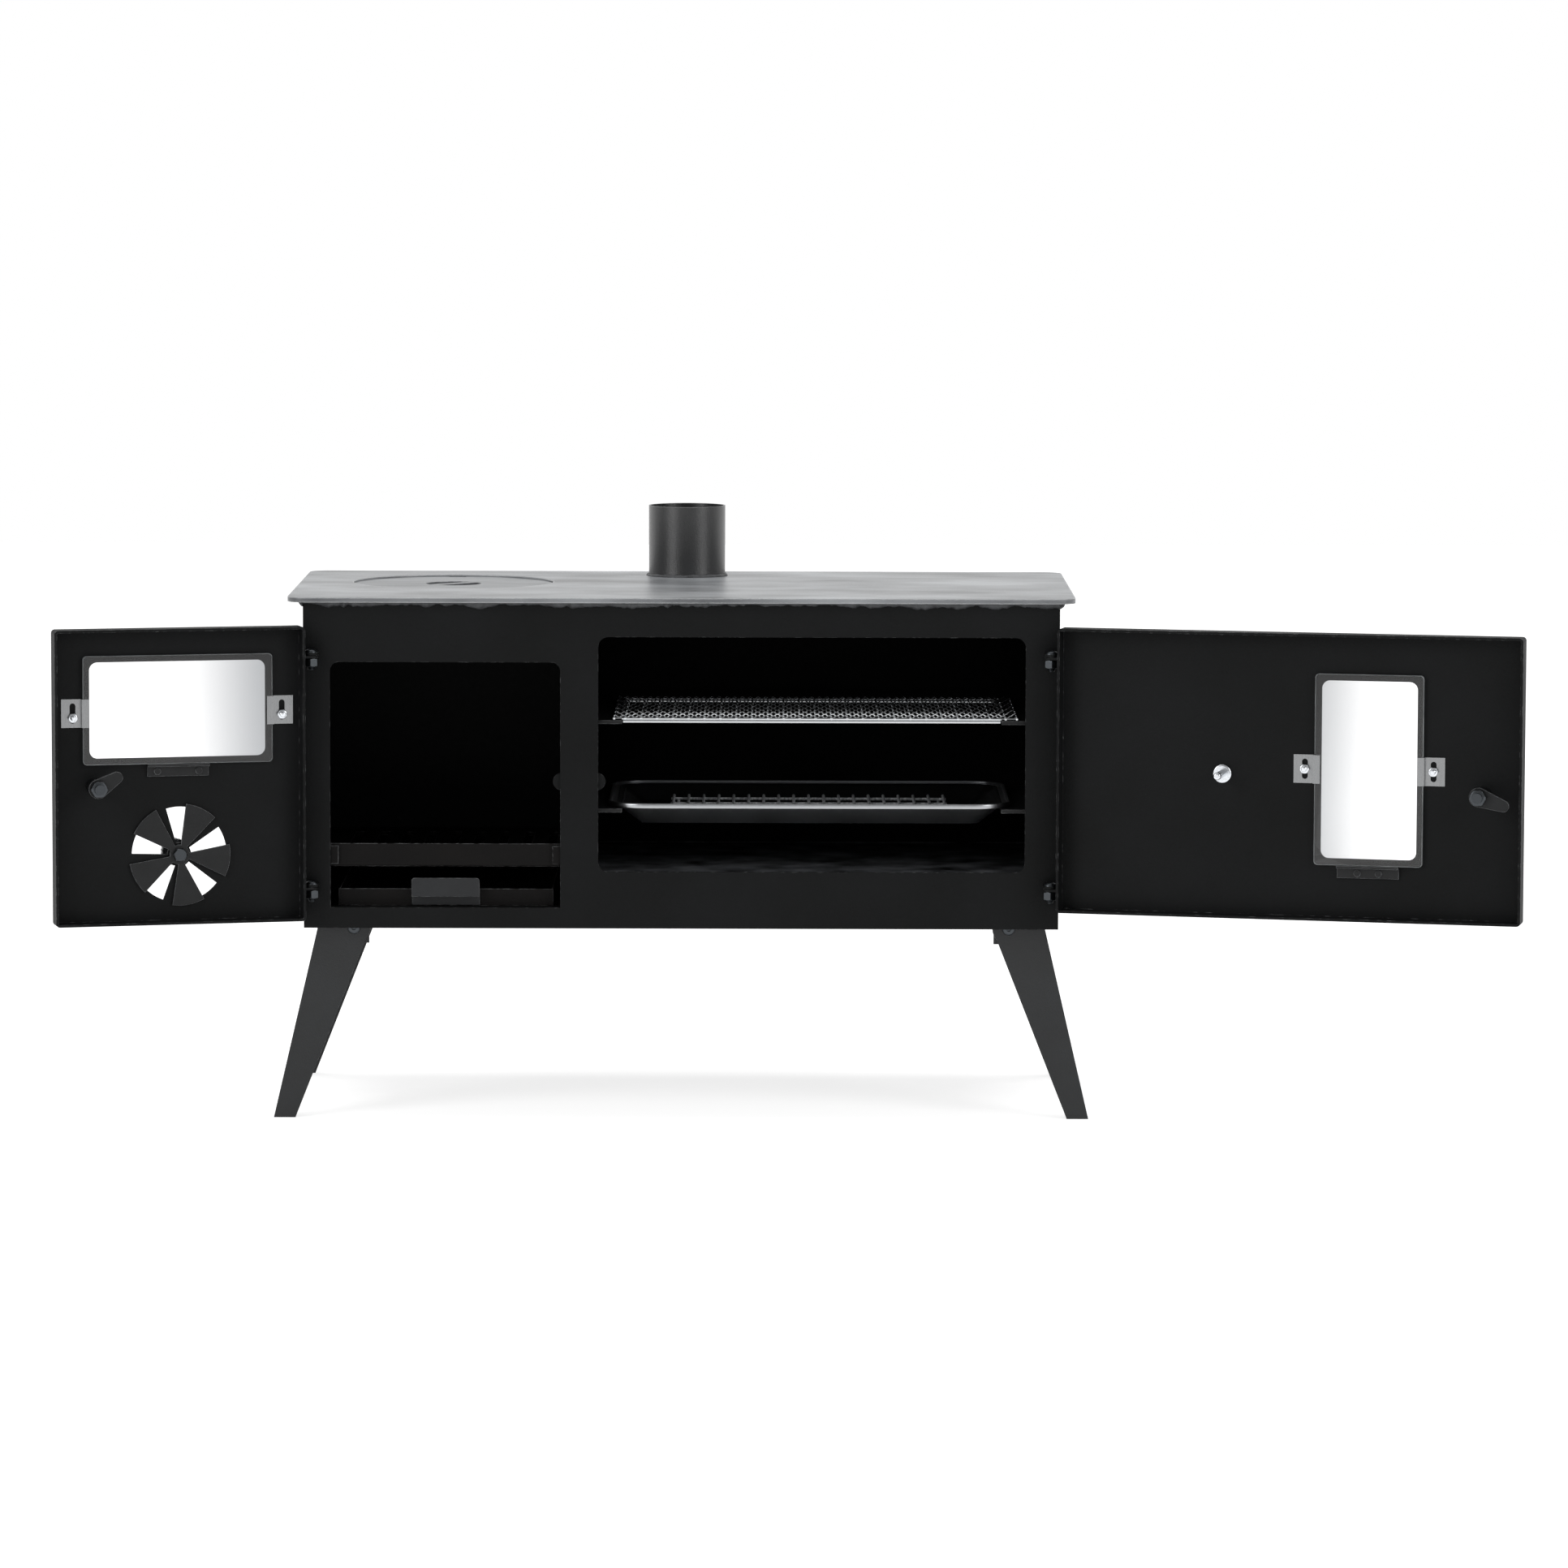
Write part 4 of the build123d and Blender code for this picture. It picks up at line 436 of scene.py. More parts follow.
bead = np.clip(WELD_LEG + WELD_LUMPS * lumps + ripple, WELD_LEAST, WELD_MOST)
swing = np.linspace(0, pi / 2, 7)
bead_out = np.r_[0, np.cos(swing)]
bead_down = np.r_[0, np.sin(swing)]
weld_points = np.empty((len(travel), len(bead_out), 3))
weld_points[:, :, :2] = weld_base[:, None] + weld_out[:, None] * (bead[:, None] * bead_out)[..., None]
weld_points[:, :, 2] = shell_high.z - bead[:, None] * bead_down
weld_paint = stove_paint("paint over the weld", "#242527", "#4e5052", 0.5, 1.2, 0.6, cloud_mm=6, shine=0.5)
weld_bead = surface("weld_bead", [weld_points], weld_paint, "stove_body", ring_rows=True, ring_columns=True)
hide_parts("top_weld")

# Weld at the foot of the flue collar: a narrow ring of the same bead on the hob plate.
COLLAR_WELD_LEG = 2.2 * MM
COLLAR_WELD_LUMPS = 0.12
COLLAR_WELD_SPREAD = 12
COLLAR_WELD_STEPS = 240
collar_low, collar_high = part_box("flue_collar")
collar_middle = (collar_low + collar_high) / 2
collar_radius = (collar_high.x - collar_low.x) / 2
round_turn = np.linspace(0, 2 * pi, COLLAR_WELD_STEPS, endpoint=False)[:, None]
collar_lumps = COLLAR_WELD_LUMPS * ragged(COLLAR_WELD_STEPS, COLLAR_WELD_SPREAD)
collar_bead = COLLAR_WELD_LEG * (1 + collar_lumps)[:, None]
ring_reach = collar_radius + collar_bead * bead_out
collar_weld_points = np.stack(
    [
        collar_middle.x + ring_reach * np.cos(round_turn),
        collar_middle.y + ring_reach * np.sin(round_turn),
        collar_low.z + collar_bead * bead_down,
    ],
    axis=-1,
)
collar_weld = surface(
    "collar_weld", [collar_weld_points], weld_paint, "stove_body", ring_rows=True, ring_columns=True
)


# Bright fittings: stainless clips brushed along their length, zinc-plated fasteners and black oxide
# spindles. Brushing shows as fine streaks in the gloss, and plating as a soft unevenness.
def bright_metal(name, colour, roughness, streak_mm, stretch=(1, 1, 1)):
    """Bare metal: stretched noise varies the roughness and gives a shallow bump."""
    material, tree = new_material(name)
    place = add_node(tree, "TexCoord").outputs["Object"]
    drawn_out = add_node(tree, "Mapping", {"Vector": place, "Scale": stretch})
    streaks = add_node(
        tree, "TexNoise", {"Vector": drawn_out.outputs[0], "Scale": 1 / (streak_mm * MM), "Detail": 3.0}
    )
    gloss = add_node(
        tree, "MapRange",
        {"Value": streaks.outputs["Fac"], "To Min": roughness - 0.1, "To Max": roughness + 0.12},
    )
    bump = add_node(
        tree, "Bump", {"Height": streaks.outputs["Fac"], "Strength": 0.25, "Distance": 0.05 * MM}
    )
    metal = add_node(
        tree, "BsdfPrincipled",
        {
            "Base Color": linear(colour),
            "Metallic": 1.0,
            "Roughness": gloss.outputs["Result"],
            "Normal": bump.outputs["Normal"],
        },
    )
    add_node(tree, "OutputMaterial", {"Surface": metal.outputs[0]})
    return material


brushed_stainless = bright_metal("brushed stainless steel", "#8f9091", 0.26, 0.9, (1, 1, 0.1))
zinc_plate = bright_metal("bright zinc plate", "#d5d8dc", 0.2, 1.5)
black_oxide = bright_metal("black oxide steel", "#46494c", 0.34, 1.2)
dress(brushed_stainless, "firebox_glass_clips", "oven_glass_clips")
dress(zinc_plate, "thermometer_nut", "thermometer_stem", "thermometer_case")
dress(black_oxide, "firebox_latch_spindle", "oven_latch_spindle")

# Hinge and leg fasteners: black M6 screws with low domed heads, and plain hexagon nuts.
# They are rolled steel with a thin black oxide, so they stay dark but keep a metal's soft shine.
# A thread's depth is a share of its pitch, and the round face of a nut is a share of its flats.
# The square root of three turns a hexagon's corner into its flats, and is the slope of a 60 degree cone.
ROOT_THREE = 1.73
THREAD_DEPTH = 0.28
NUT_FACE = 0.48
PART_GAP = 30 * MM
AROUND = np.linspace(0, 2 * pi, 48, endpoint=False)
UP = np.array([0.0, 0.0, 1.0])
ACROSS = np.array([1.0, 0.0, 0.0])
BACKWARDS = np.array([0.0, 1.0, 0.0])


def corners_of(name):
    """All points of one piece of the stove's model."""
    mesh = nodes[name].data
    points = np.empty(3 * len(mesh.vertices))
    mesh.vertices.foreach_get("co", points)
    return points.reshape(-1, 3)


def apart(points, direction):
    """Groups of points, parted where they lie over PART_GAP apart along a direction."""
    order = np.argsort(points @ direction)
    jumps = np.flatnonzero(np.diff((points @ direction)[order]) > PART_GAP) + 1
    return [points[group] for group in np.split(order, jumps)]


def centre_line(points, axis):
    """Start and end of the line through the middle of these points, along an axis."""
    along = points @ axis
    flat = points - along[:, None] * axis
    middle = (flat.min(axis=0) + flat.max(axis=0)) / 2
    return middle + along.min() * axis, middle + along.max() * axis


def turned(start, axis, height, reach):
    """A form round an axis: start + axis * height + (cos, sin) * reach, rows up it, columns round it."""
    side = np.cross(axis, UP if abs(axis[2]) < 0.9 else ACROSS)
    side = side / np.linalg.norm(side)
    ring = np.cos(AROUND)[:, None] * side + np.sin(AROUND)[:, None] * np.cross(axis, side)
    return start + height[..., None] * axis + reach[..., None] * ring


def hexagonal(flats):
    """Distance to the side of a hexagon: half the flats / cos(angle from the middle of that side)."""
    return flats / 2 / np.cos(np.mod(AROUND, pi / 3) - pi / 6)


def threaded(height, radius, pitch):
    """A screw thread: radius - THREAD_DEPTH * pitch * (1 - cos(2 pi height / pitch - angle))."""
    return radius - THREAD_DEPTH * pitch * (1 - np.cos(2 * pi * height / pitch - AROUND))


def hex_nut(start, axis, height, flats, bore):
    """A hexagon cut by a 30 degree cone at both faces, and a hole; rows run out, up and back in."""
    rise = height * (1 - np.cos(np.linspace(0, pi, 13)))[:, None] / 2
    cone = NUT_FACE * flats + ROOT_THREE * np.minimum(rise, height - rise)
    hole = np.full((1, len(AROUND)), bore)
    reach = np.vstack([hole, np.minimum(hexagonal(flats), cone), hole])
    return turned(start, axis, np.vstack([rise[:1], rise, rise[-1:]]), reach)


def domed_screw(start, end, radius, pitch, head_radius, head_height, socket=0.0):
    """An ellipse dome, with a hexagon socket where one is given, and then a threaded shaft to the tip."""
    length = np.linalg.norm(end - start)
    axis = (end - start) / length
    opening = max(1.1 * socket, 0.02 * head_radius)
    bend = np.linspace(np.arcsin(opening / head_radius), pi / 2, 10)[:, None]
    heights = [head_height * (1 - np.cos(bend)), np.array([[head_height]])]
    reaches = [head_radius * np.sin(bend) + 0 * AROUND, np.full((1, len(AROUND)), radius)]
    if socket:
        heights.insert(0, np.array([[0.6], [0.08]]) * head_height)
        reaches.insert(0, np.repeat(hexagonal(ROOT_THREE * socket)[None], 2, axis=0))
    shaft = np.linspace(head_height, length, int(8 * (length - head_height) / pitch))[1:, None]
    tip_cut = 0.8 * np.clip(shaft - length + pitch, 0, None)
    heights.append(shaft)
    reaches.append(threaded(shaft, radius, pitch) - tip_cut)
    return turned(start, axis, np.vstack(heights), np.vstack(reaches))


SCREW_RADIUS = 3.0 * MM
SCREW_PITCH = 1.0 * MM
SCREW_HEAD = 5.2 * MM
SCREW_DOME = 3.2 * MM
SCREW_SOCKET = 2.0 * MM
NUT_FLATS = 10.0 * MM
hinge_screws = []
hinge_nuts = []
for stack in apart(corners_of("hinge_bolts"), ACROSS):
    for points in apart(stack, UP):
        top, tip = centre_line(points, -UP)
        hinge_screws.append(domed_screw(top, tip, SCREW_RADIUS, SCREW_PITCH, SCREW_HEAD, SCREW_DOME))
for stack in apart(corners_of("hinge_nuts"), ACROSS):
    for points in apart(stack, UP):
        low, high = centre_line(points, UP)
        hinge_nuts.append(hex_nut(low, UP, high[2] - low[2], NUT_FLATS, SCREW_RADIUS))
leg_screws = []
leg_nuts = []
for stack in apart(corners_of("leg_bolts"), ACROSS):
    for points, inward in zip(apart(stack, BACKWARDS), (BACKWARDS, -BACKWARDS)):
        head, tip = centre_line(points, inward)
        leg_screws.append(
            domed_screw(head, tip, SCREW_RADIUS, SCREW_PITCH, SCREW_HEAD, SCREW_DOME, SCREW_SOCKET)
        )
for stack in apart(corners_of("leg_nuts"), ACROSS):
    for points in apart(stack, BACKWARDS):
        near, far = centre_line(points, BACKWARDS)
        leg_nuts.append(hex_nut(near, BACKWARDS, far[1] - near[1], NUT_FLATS, SCREW_RADIUS))
for name, grids, replaced, screw in (
    ("hinge_screws", hinge_screws, "hinge_bolts", True),
    ("hinge_screw_nuts", hinge_nuts, "hinge_nuts", False),
    ("leg_screws", leg_screws, "leg_bolts", True),
    ("leg_screw_nuts", leg_nuts, "leg_nuts", False),
):
    piece = surface(
        name, grids, black_oxide, "stove_body", ring_rows=not screw, ring_columns=True, caps=screw
    )
    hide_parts(replaced)

# Clip screws and nuts: bright zinc M4, one at each end of each pane, through the slot of its clip.
# The dome is outside the door; the nut and the screw's bare end show inside.
CLIP_SCREW_RADIUS = 2.0 * MM
CLIP_SCREW_PITCH = 0.7 * MM
CLIP_SCREW_HEAD = 4.0 * MM
CLIP_SCREW_DOME = 2.0 * MM
CLIP_NUT_FLATS = 7.0 * MM
CLIP_NUT_HEIGHT = 3.2 * MM
CLIP_NUT_FROM_TIP = 8.2 * MM
joint_axes = {joint["name"]: np.array(joint["axis"]) for joint in frame["record"]["behaviour"]["joints"]}
door_inward = {"firebox": -joint_axes["firebox_latch_turn"], "oven": -joint_axes["oven_latch_turn"]}
for door, inward in door_inward.items():
    screws = []
    nuts = []
    for points in apart(corners_of(door + "_clip_bolts"), ACROSS):
        head, tip = centre_line(points, inward)
        screws.append(
            domed_screw(head, tip, CLIP_SCREW_RADIUS, CLIP_SCREW_PITCH, CLIP_SCREW_HEAD, CLIP_SCREW_DOME)
        )
        nut_seat = tip - CLIP_NUT_FROM_TIP * inward
        nuts.append(hex_nut(nut_seat, inward, CLIP_NUT_HEIGHT, CLIP_NUT_FLATS, CLIP_SCREW_RADIUS))
    clip_screws = surface(
        door + "_clip_screws", screws, zinc_plate, door + "_door", ring_columns=True, caps=True
    )
    clip_nuts = surface(
        door + "_clip_nuts", nuts, zinc_plate, door + "_door", ring_rows=True, ring_columns=True
    )
    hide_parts(door + "_clip_bolts")

# Latches: an M8 nut with bevelled corners holds each pawl, and a coil of stainless wire, wound
# on a short cross bar, is the grip, because it lets the heat out. Its turns lie side by side.
LATCH_SCREW = 4.0 * MM
LATCH_NUT_FLATS = 12.0 * MM
COIL_WIRE = 1.0 * MM
COIL_PITCH = 2.15 * MM
COIL_END = 2.0 * MM
COIL_STEPS = 28


def wires(paths, radius, sides=8, reference=UP):
    """Round wires on paths (wires, steps, xyz): path + radius * (cos, sin), square to the path."""
    along = np.gradient(paths, axis=1)
    side = np.cross(along, reference)
    side /= np.linalg.norm(side, axis=2, keepdims=True)
    up = np.cross(side, along)
    up /= np.linalg.norm(up, axis=2, keepdims=True)
    turn = np.linspace(0, 2 * pi, sides, endpoint=False)[:, None]
    ring = np.cos(turn) * side[:, :, None] + np.sin(turn) * up[:, :, None]
    return paths[:, :, None] + radius * ring


coil_steel = bright_metal("drawn stainless wire", "#bdbcb8", 0.26, 1.2)
for door, inward in door_inward.items():
    seat, face = centre_line(corners_of(door + "_latch_nut"), inward)
    nut = hex_nut(seat, inward, np.linalg.norm(face - seat), LATCH_NUT_FLATS, LATCH_SCREW)
    latch_nut = surface(
        door + "_latch_screw_nut", [nut], black_oxide, door + "_latch", ring_rows=True, ring_columns=True
    )
    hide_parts(door + "_latch_nut")
    bar_way = np.cross(UP, inward)
    near, far = centre_line(corners_of(door + "_latch_grip"), bar_way)
    bar_length = np.linalg.norm(far - near)
    bar_radius = corners_of(door + "_latch_grip")[:, 2].max() - near[2]
    core_radius = bar_radius - 2 * COIL_WIRE
    bend = np.linspace(0.02, pi / 2, 8)[:, None]
    end_rise = core_radius * (1 - np.cos(bend))
    core_height = np.vstack([end_rise, bar_length - end_rise[::-1]])
    core_reach = core_radius * np.sin(np.vstack([bend, bend[::-1]])) + 0 * AROUND
    core = turned(near, bar_way, core_height, core_reach)
    coil_turns = (bar_length - 2 * COIL_END) / COIL_PITCH
    coil_angle = np.linspace(0, 2 * pi * coil_turns, int(COIL_STEPS * coil_turns))[:, None]
    coil_place = COIL_END + coil_angle / (2 * pi) * COIL_PITCH
    coil = (
        near + coil_place * bar_way
        + (bar_radius - COIL_WIRE) * (np.cos(coil_angle) * UP + np.sin(coil_angle) * inward)
    )
    coil_grids = list(wires(coil[None], COIL_WIRE, reference=bar_way))
    latch_grip = surface(
        door + "_latch_coil", [core] + coil_grids, coil_steel, door + "_latch", ring_columns=True, caps=True
    )
    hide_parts(door + "_latch_grip")

# Air vent: a turned steel knob with a waist and fine flutes outside the door, and a bevelled
# hexagon head inside that holds the bladed disc.
KNOB_FLUTES = 24
KNOB_FLUTE_DEPTH = 0.5 * MM
VENT_HEAD_FLATS = 10.0 * MM
VENT_HEAD_HEIGHT = 4.0 * MM
VENT_HEAD_FACE = 0.47 * VENT_HEAD_FLATS
VENT_SCREW_RADIUS = 3.0 * MM
VENT_HEAD_POLE = 0.3 * MM
outward = -door_inward["firebox"]
knob_foot, knob_top = centre_line(corners_of("vent_knob"), outward)
knob_radius = corners_of("vent_knob")[:, 2].max() - knob_foot[2]
knob_length = np.linalg.norm(knob_top - knob_foot)
knob_share = np.array(
    [0, 0.0, 0.04, 0.12, 0.25, 0.38, 0.48, 0.54, 0.56, 0.62, 0.72, 0.82, 0.9, 0.93, 0.96, 0.99, 1.0, 1.0, 1.0]
)[:, None]
knob_form = np.array(
    [0.4, 0.6, 0.62, 0.56, 0.52, 0.55, 0.68, 0.9, 0.97, 1.0, 1.0, 1.0, 0.98, 0.95, 0.9, 0.82, 0.76, 0.4, 0.02]
)[:, None]
fluted = (knob_share > 0.55) & (knob_share < 0.94)
knob_reach = knob_radius * knob_form - fluted * KNOB_FLUTE_DEPTH * (1 + np.cos(KNOB_FLUTES * AROUND)) / 2
knob_paint = bright_metal("blackened turned steel", "#1c1d1e", 0.34, 1.0)
fluted_knob = surface(
    "fluted_vent_knob", [turned(knob_foot, outward, knob_length * knob_share, knob_reach)], knob_paint,
    "air_vent", ring_columns=True, caps=True,
)
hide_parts("vent_knob")
head_face, vent_tip = centre_line(corners_of("vent_bolt"), outward)
head_rise = np.array([0, 0, 0.25, 0.5, 0.75, 1.0, 1.0])[:, None] * VENT_HEAD_HEIGHT
head_cone = VENT_HEAD_FACE + ROOT_THREE * head_rise
head_cone[0] = VENT_HEAD_POLE
head_cone[-1] = VENT_SCREW_RADIUS
head_reach = np.minimum(hexagonal(VENT_HEAD_FLATS), head_cone)
stem_rise = np.array([[np.linalg.norm(vent_tip - head_face)]])
vent_screw = surface(
    "vent_hexagon_screw",
    [
        turned(
            head_face, outward, np.vstack([head_rise, stem_rise]),
            np.vstack([head_reach, VENT_SCREW_RADIUS + 0 * AROUND]),
        )
    ],
    black_oxide, "air_vent", ring_columns=True, caps=True,
)
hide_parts("vent_bolt")

# Thermometer face: a white enamelled dial with a red pointer, black marks round its sweep and plain
# numbers. The marks are printed, so they stand only a hair above the enamel.
dial_enamel = stove_paint("white dial enamel", "#e4e3de", "#ebeae6", 0.3, 1.0, 0.02)
needle_paint = stove_paint("red pointer paint", "#9c2018", "#a8261c", 0.4, 1.0, 0.02)
dress(dial_enamel, "thermometer_dial")
dress(needle_paint, "thermometer_needle")
DIAL_SWEEP = radians(270)
DIAL_START = radians(225)
DIAL_NUMBERS = 6
DIAL_STEP = 100
DIAL_PRINT = 0.12 * MM
MARK_OUTER = 0.94
LONG_MARK = (0.8, 0.35 * MM)
SHORT_MARK = (0.87, 0.17 * MM)
MARKS_PER_NUMBER = 10
NUMBER_REACH = 0.62
NUMBER_SIZE = 5.2 * MM
mark_ink = stove_paint("black dial ink", "#101112", "#161718", 0.45, 0.8, 0.05, cloud_mm=10, shine=0.4)
dial_outward = -door_inward["oven"]
dial_right = np.cross(UP, dial_outward)
dial_points = corners_of("thermometer_dial")
dial_face = centre_line(dial_points, dial_outward)[1]
dial_radius = dial_points[:, 2].max() - dial_face[2]
mark_count = MARKS_PER_NUMBER * (DIAL_NUMBERS - 1) + 1
mark_grids = []
for mark in range(mark_count):
    angle = DIAL_START - DIAL_SWEEP * mark / (mark_count - 1)
    way = cos(angle) * dial_right + sin(angle) * UP
    beside = np.cross(dial_outward, way)
    inner_share, half = SHORT_MARK if mark % MARKS_PER_NUMBER else LONG_MARK
    inner = dial_radius * inner_share
    outer = dial_radius * MARK_OUTER
    loop = np.array([[inner, -half], [outer, -half], [outer, half], [inner, half]])
    flat = dial_face + loop[:, :1] * way + loop[:, 1:] * beside
    mark_grids.append(np.stack([flat, flat + DIAL_PRINT * dial_outward]))
dial_marks = surface("dial_marks", mark_grids, mark_ink, "oven_door", ring_columns=True, caps=True)
number_turn = Matrix((dial_right, UP, dial_outward)).transposed().to_4x4()
for number in range(DIAL_NUMBERS):
    angle = DIAL_START - DIAL_SWEEP * number / (DIAL_NUMBERS - 1)
    text = bpy.data.curves.new("dial_number_" + str(number), "FONT")
    text.body = str(number * DIAL_STEP)
    text.size = NUMBER_SIZE
    text.extrude = DIAL_PRINT / 2
    text.align_x = "CENTER"
    text.align_y = "CENTER"
    typed = bpy.data.objects.new("typed", text)
    bpy.context.scene.collection.objects.link(typed)
    bpy.context.view_layer.update()
    figure = bpy.data.meshes.new_from_object(typed)
    bpy.data.objects.remove(typed)
    way = cos(angle) * dial_right + sin(angle) * UP
    figure.transform(Matrix.Translation(dial_face + NUMBER_REACH * dial_radius * way) @ number_turn)
    figure.materials.clear()
    figure.materials.append(mark_ink)
    piece = bpy.data.objects.new("dial_number_" + str(number * DIAL_STEP), figure)
    bpy.context.scene.collection.objects.link(piece)
    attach(piece, "oven_door")


# Door glass: flat ceramic panes that fade to grey towards one side, and ground, chamfered edges, pale grey as
# a painted highlight line. Each is a rounded rectangle carried along a profile of insets and depths.
def ceramic_glass(name, clear_end, grey_end, grey_tone="#a9abad"):
    """Clear glass that fades to a grey tone along the line from one place to another."""
    material, tree = new_material(name)
    place = add_node(tree, "TexCoord").outputs["Object"]
    line = Vector(grey_end) - Vector(clear_end)
    offset = add_node(tree, "VectorMath", {0: place, 1: clear_end}, operation="SUBTRACT")
    share = add_node(
        tree, "VectorMath", {0: offset.outputs[0], 1: line / line.length_squared}, operation="DOT_PRODUCT"
    )
    fade = add_node(tree, "MapRange", {"Value": share.outputs["Value"]}, interpolation_type="SMOOTHSTEP")
    grey_fade = add_node(
        tree, "Mix", {"Factor": fade.outputs["Result"], "A": linear("#ffffff"), "B": linear(grey_tone)},
        data_type="RGBA",
    )
    pane = add_node(
        tree, "BsdfPrincipled",
        {
            "Base Color": grey_fade.outputs["Result"],
            "Roughness": 0.0,
            "IOR": 1.5,
            "Specular IOR Level": 0.2,
            "Transmission Weight": 1.0,
        },
    )
    add_node(tree, "OutputMaterial", {"Surface": pane.outputs[0]})
    return material


firebox_pane_low, firebox_pane_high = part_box("firebox_glass")
oven_pane_low, oven_pane_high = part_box("oven_glass")
pane_middle = (firebox_pane_low + firebox_pane_high) / 2
firebox_glass = ceramic_glass(
    "ceramic glass of the firebox door",
    (pane_middle.x - 25 * MM, pane_middle.y, pane_middle.z),
    (firebox_pane_high.x, firebox_pane_low.y, pane_middle.z),
    grey_tone="#9b9da0",
)
oven_glass = ceramic_glass(
    "ceramic glass of the oven door",
    (oven_pane_high.x - 12 * MM, oven_pane_low.y, 0),
    (oven_pane_low.x - 14 * MM, oven_pane_low.y, 0),
)
plain_glass = ceramic_glass("thermometer glass", (0, 0, 0), (0, 0, 1), grey_tone="#ffffff")
dress(plain_glass, "thermometer_lens")
PANE_CORNER = 3.0 * MM
PANE_CHAMFER = 0.3 * MM
PANE_CORNER_STEPS = 6
# Painted highlight: the pale grey edge faces are ground glass and also stand in for the thin light line.
ground_edge_highlight = stove_paint("ground glass edge with painted highlight", "#7d8182", "#a2a6a7", 0.5, 0.6, 0.2, cloud_mm=20, shine=0.4)
for door, glass in (("firebox", firebox_glass), ("oven", oven_glass)):
    inward = door_inward[door]
    sideways = np.cross(UP, inward)
    pane_points = corners_of(door + "_glass")
    pane_back, pane_front = centre_line(pane_points, inward)
    pane_depth = np.linalg.norm(pane_front - pane_back)
    half_sides = np.array([np.ptp(pane_points @ sideways), np.ptp(pane_points @ UP)]) / 2
    corner_turn = np.linspace(0, pi / 2, PANE_CORNER_STEPS)
    loop = []
    for quarter, signs in enumerate(((1, 1), (-1, 1), (-1, -1), (1, -1))):
        turn = corner_turn + quarter * pi / 2
        ring = np.stack([np.cos(turn), np.sin(turn)], axis=1)
        loop.append((half_sides - PANE_CORNER) * np.array(signs) + PANE_CORNER * ring)
    loop = np.vstack(loop)
    pane_rows = []
    pane_levels = (0, PANE_CHAMFER, pane_depth - PANE_CHAMFER, pane_depth)
    for inset, level in zip((PANE_CHAMFER, 0, 0, PANE_CHAMFER), pane_levels):
        shrunk = loop * (1 - inset / half_sides)
        pane_rows.append(pane_back + level * inward + shrunk[:, :1] * sideways + shrunk[:, 1:] * UP)
    pane = surface(door + "_pane", [np.stack(pane_rows)], glass, door + "_door", ring_columns=True, caps=True)
    pane.data.materials.append(ground_edge_highlight)
    on_edge = np.ones(len(pane.data.polygons), dtype=np.int32)
    on_edge[:2] = 0
    pane.data.polygons.foreach_set("material_index", on_edge)
    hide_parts(door + "_glass")

# Upper rack: two thick chromed bars between the rails carry a rim and cross wires of thinner wire,
# which reach over the rails. All are round wires, spot-welded where they cross.
chromed_wire = bright_metal("chromed steel wire", "#c8cacc", 0.2, 3.0)
RACK_BAR = 1.65 * MM
RACK_BAR_SHIFT = 3 * MM
RACK_WIRE = 0.9 * MM
RACK_BAR_REACH = 150 * MM
RACK_BAR_HEIGHT = -1.25 * MM
RACK_WIRE_HEIGHT = 0.9 * MM
CROSS_PITCH = 12.6 * MM
rack_low, rack_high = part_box("oven_rack_frame")
rack_middle = (rack_low.x + rack_high.x) / 2
bar_middle = rack_middle - RACK_BAR_SHIFT
bar_level = rack_low.z + RACK_BAR_HEIGHT
wire_level = rack_low.z + RACK_WIRE_HEIGHT
cross_count = int((rack_high.x - rack_low.x - 4 * RACK_BAR) // CROSS_PITCH)
cross_x = rack_middle + CROSS_PITCH * (np.arange(cross_count) - (cross_count - 1) / 2)


def straight(starts, ends, steps=12):
    """Straight paths from starts to ends: start + share * (end - start)."""
    share = np.linspace(0, 1, steps)[:, None]
    starts = np.asarray(starts, dtype=float)[:, None]
    return starts + share * (np.asarray(ends, dtype=float)[:, None] - starts)


bar_ends = [(y, bar_level) for y in (rack_low.y + RACK_BAR, rack_high.y - RACK_BAR)]
bars = straight(
    [(bar_middle - RACK_BAR_REACH, y, z) for y, z in bar_ends],
    [(bar_middle + RACK_BAR_REACH, y, z) for y, z in bar_ends],
)
long_y = (rack_low.y + RACK_WIRE, rack_high.y - RACK_WIRE)
long_wires = straight(
    [(rack_low.x, y, wire_level) for y in long_y], [(rack_high.x, y, wire_level) for y in long_y]
)
cross_places = [rack_low.x + RACK_WIRE, *cross_x.tolist(), rack_high.x - RACK_WIRE]
cross_wires = straight(
    [(x, rack_low.y, wire_level) for x in cross_places], [(x, rack_high.y, wire_level) for x in cross_places]
)
rack_wires = surface(
    "oven_rack_wires",
    [*wires(bars, RACK_BAR, 12), *wires(long_wires, RACK_WIRE), *wires(cross_wires, RACK_WIRE)],
    chromed_wire, "upper_rack", ring_columns=True, caps=True,
)
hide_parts("oven_rack_frame")

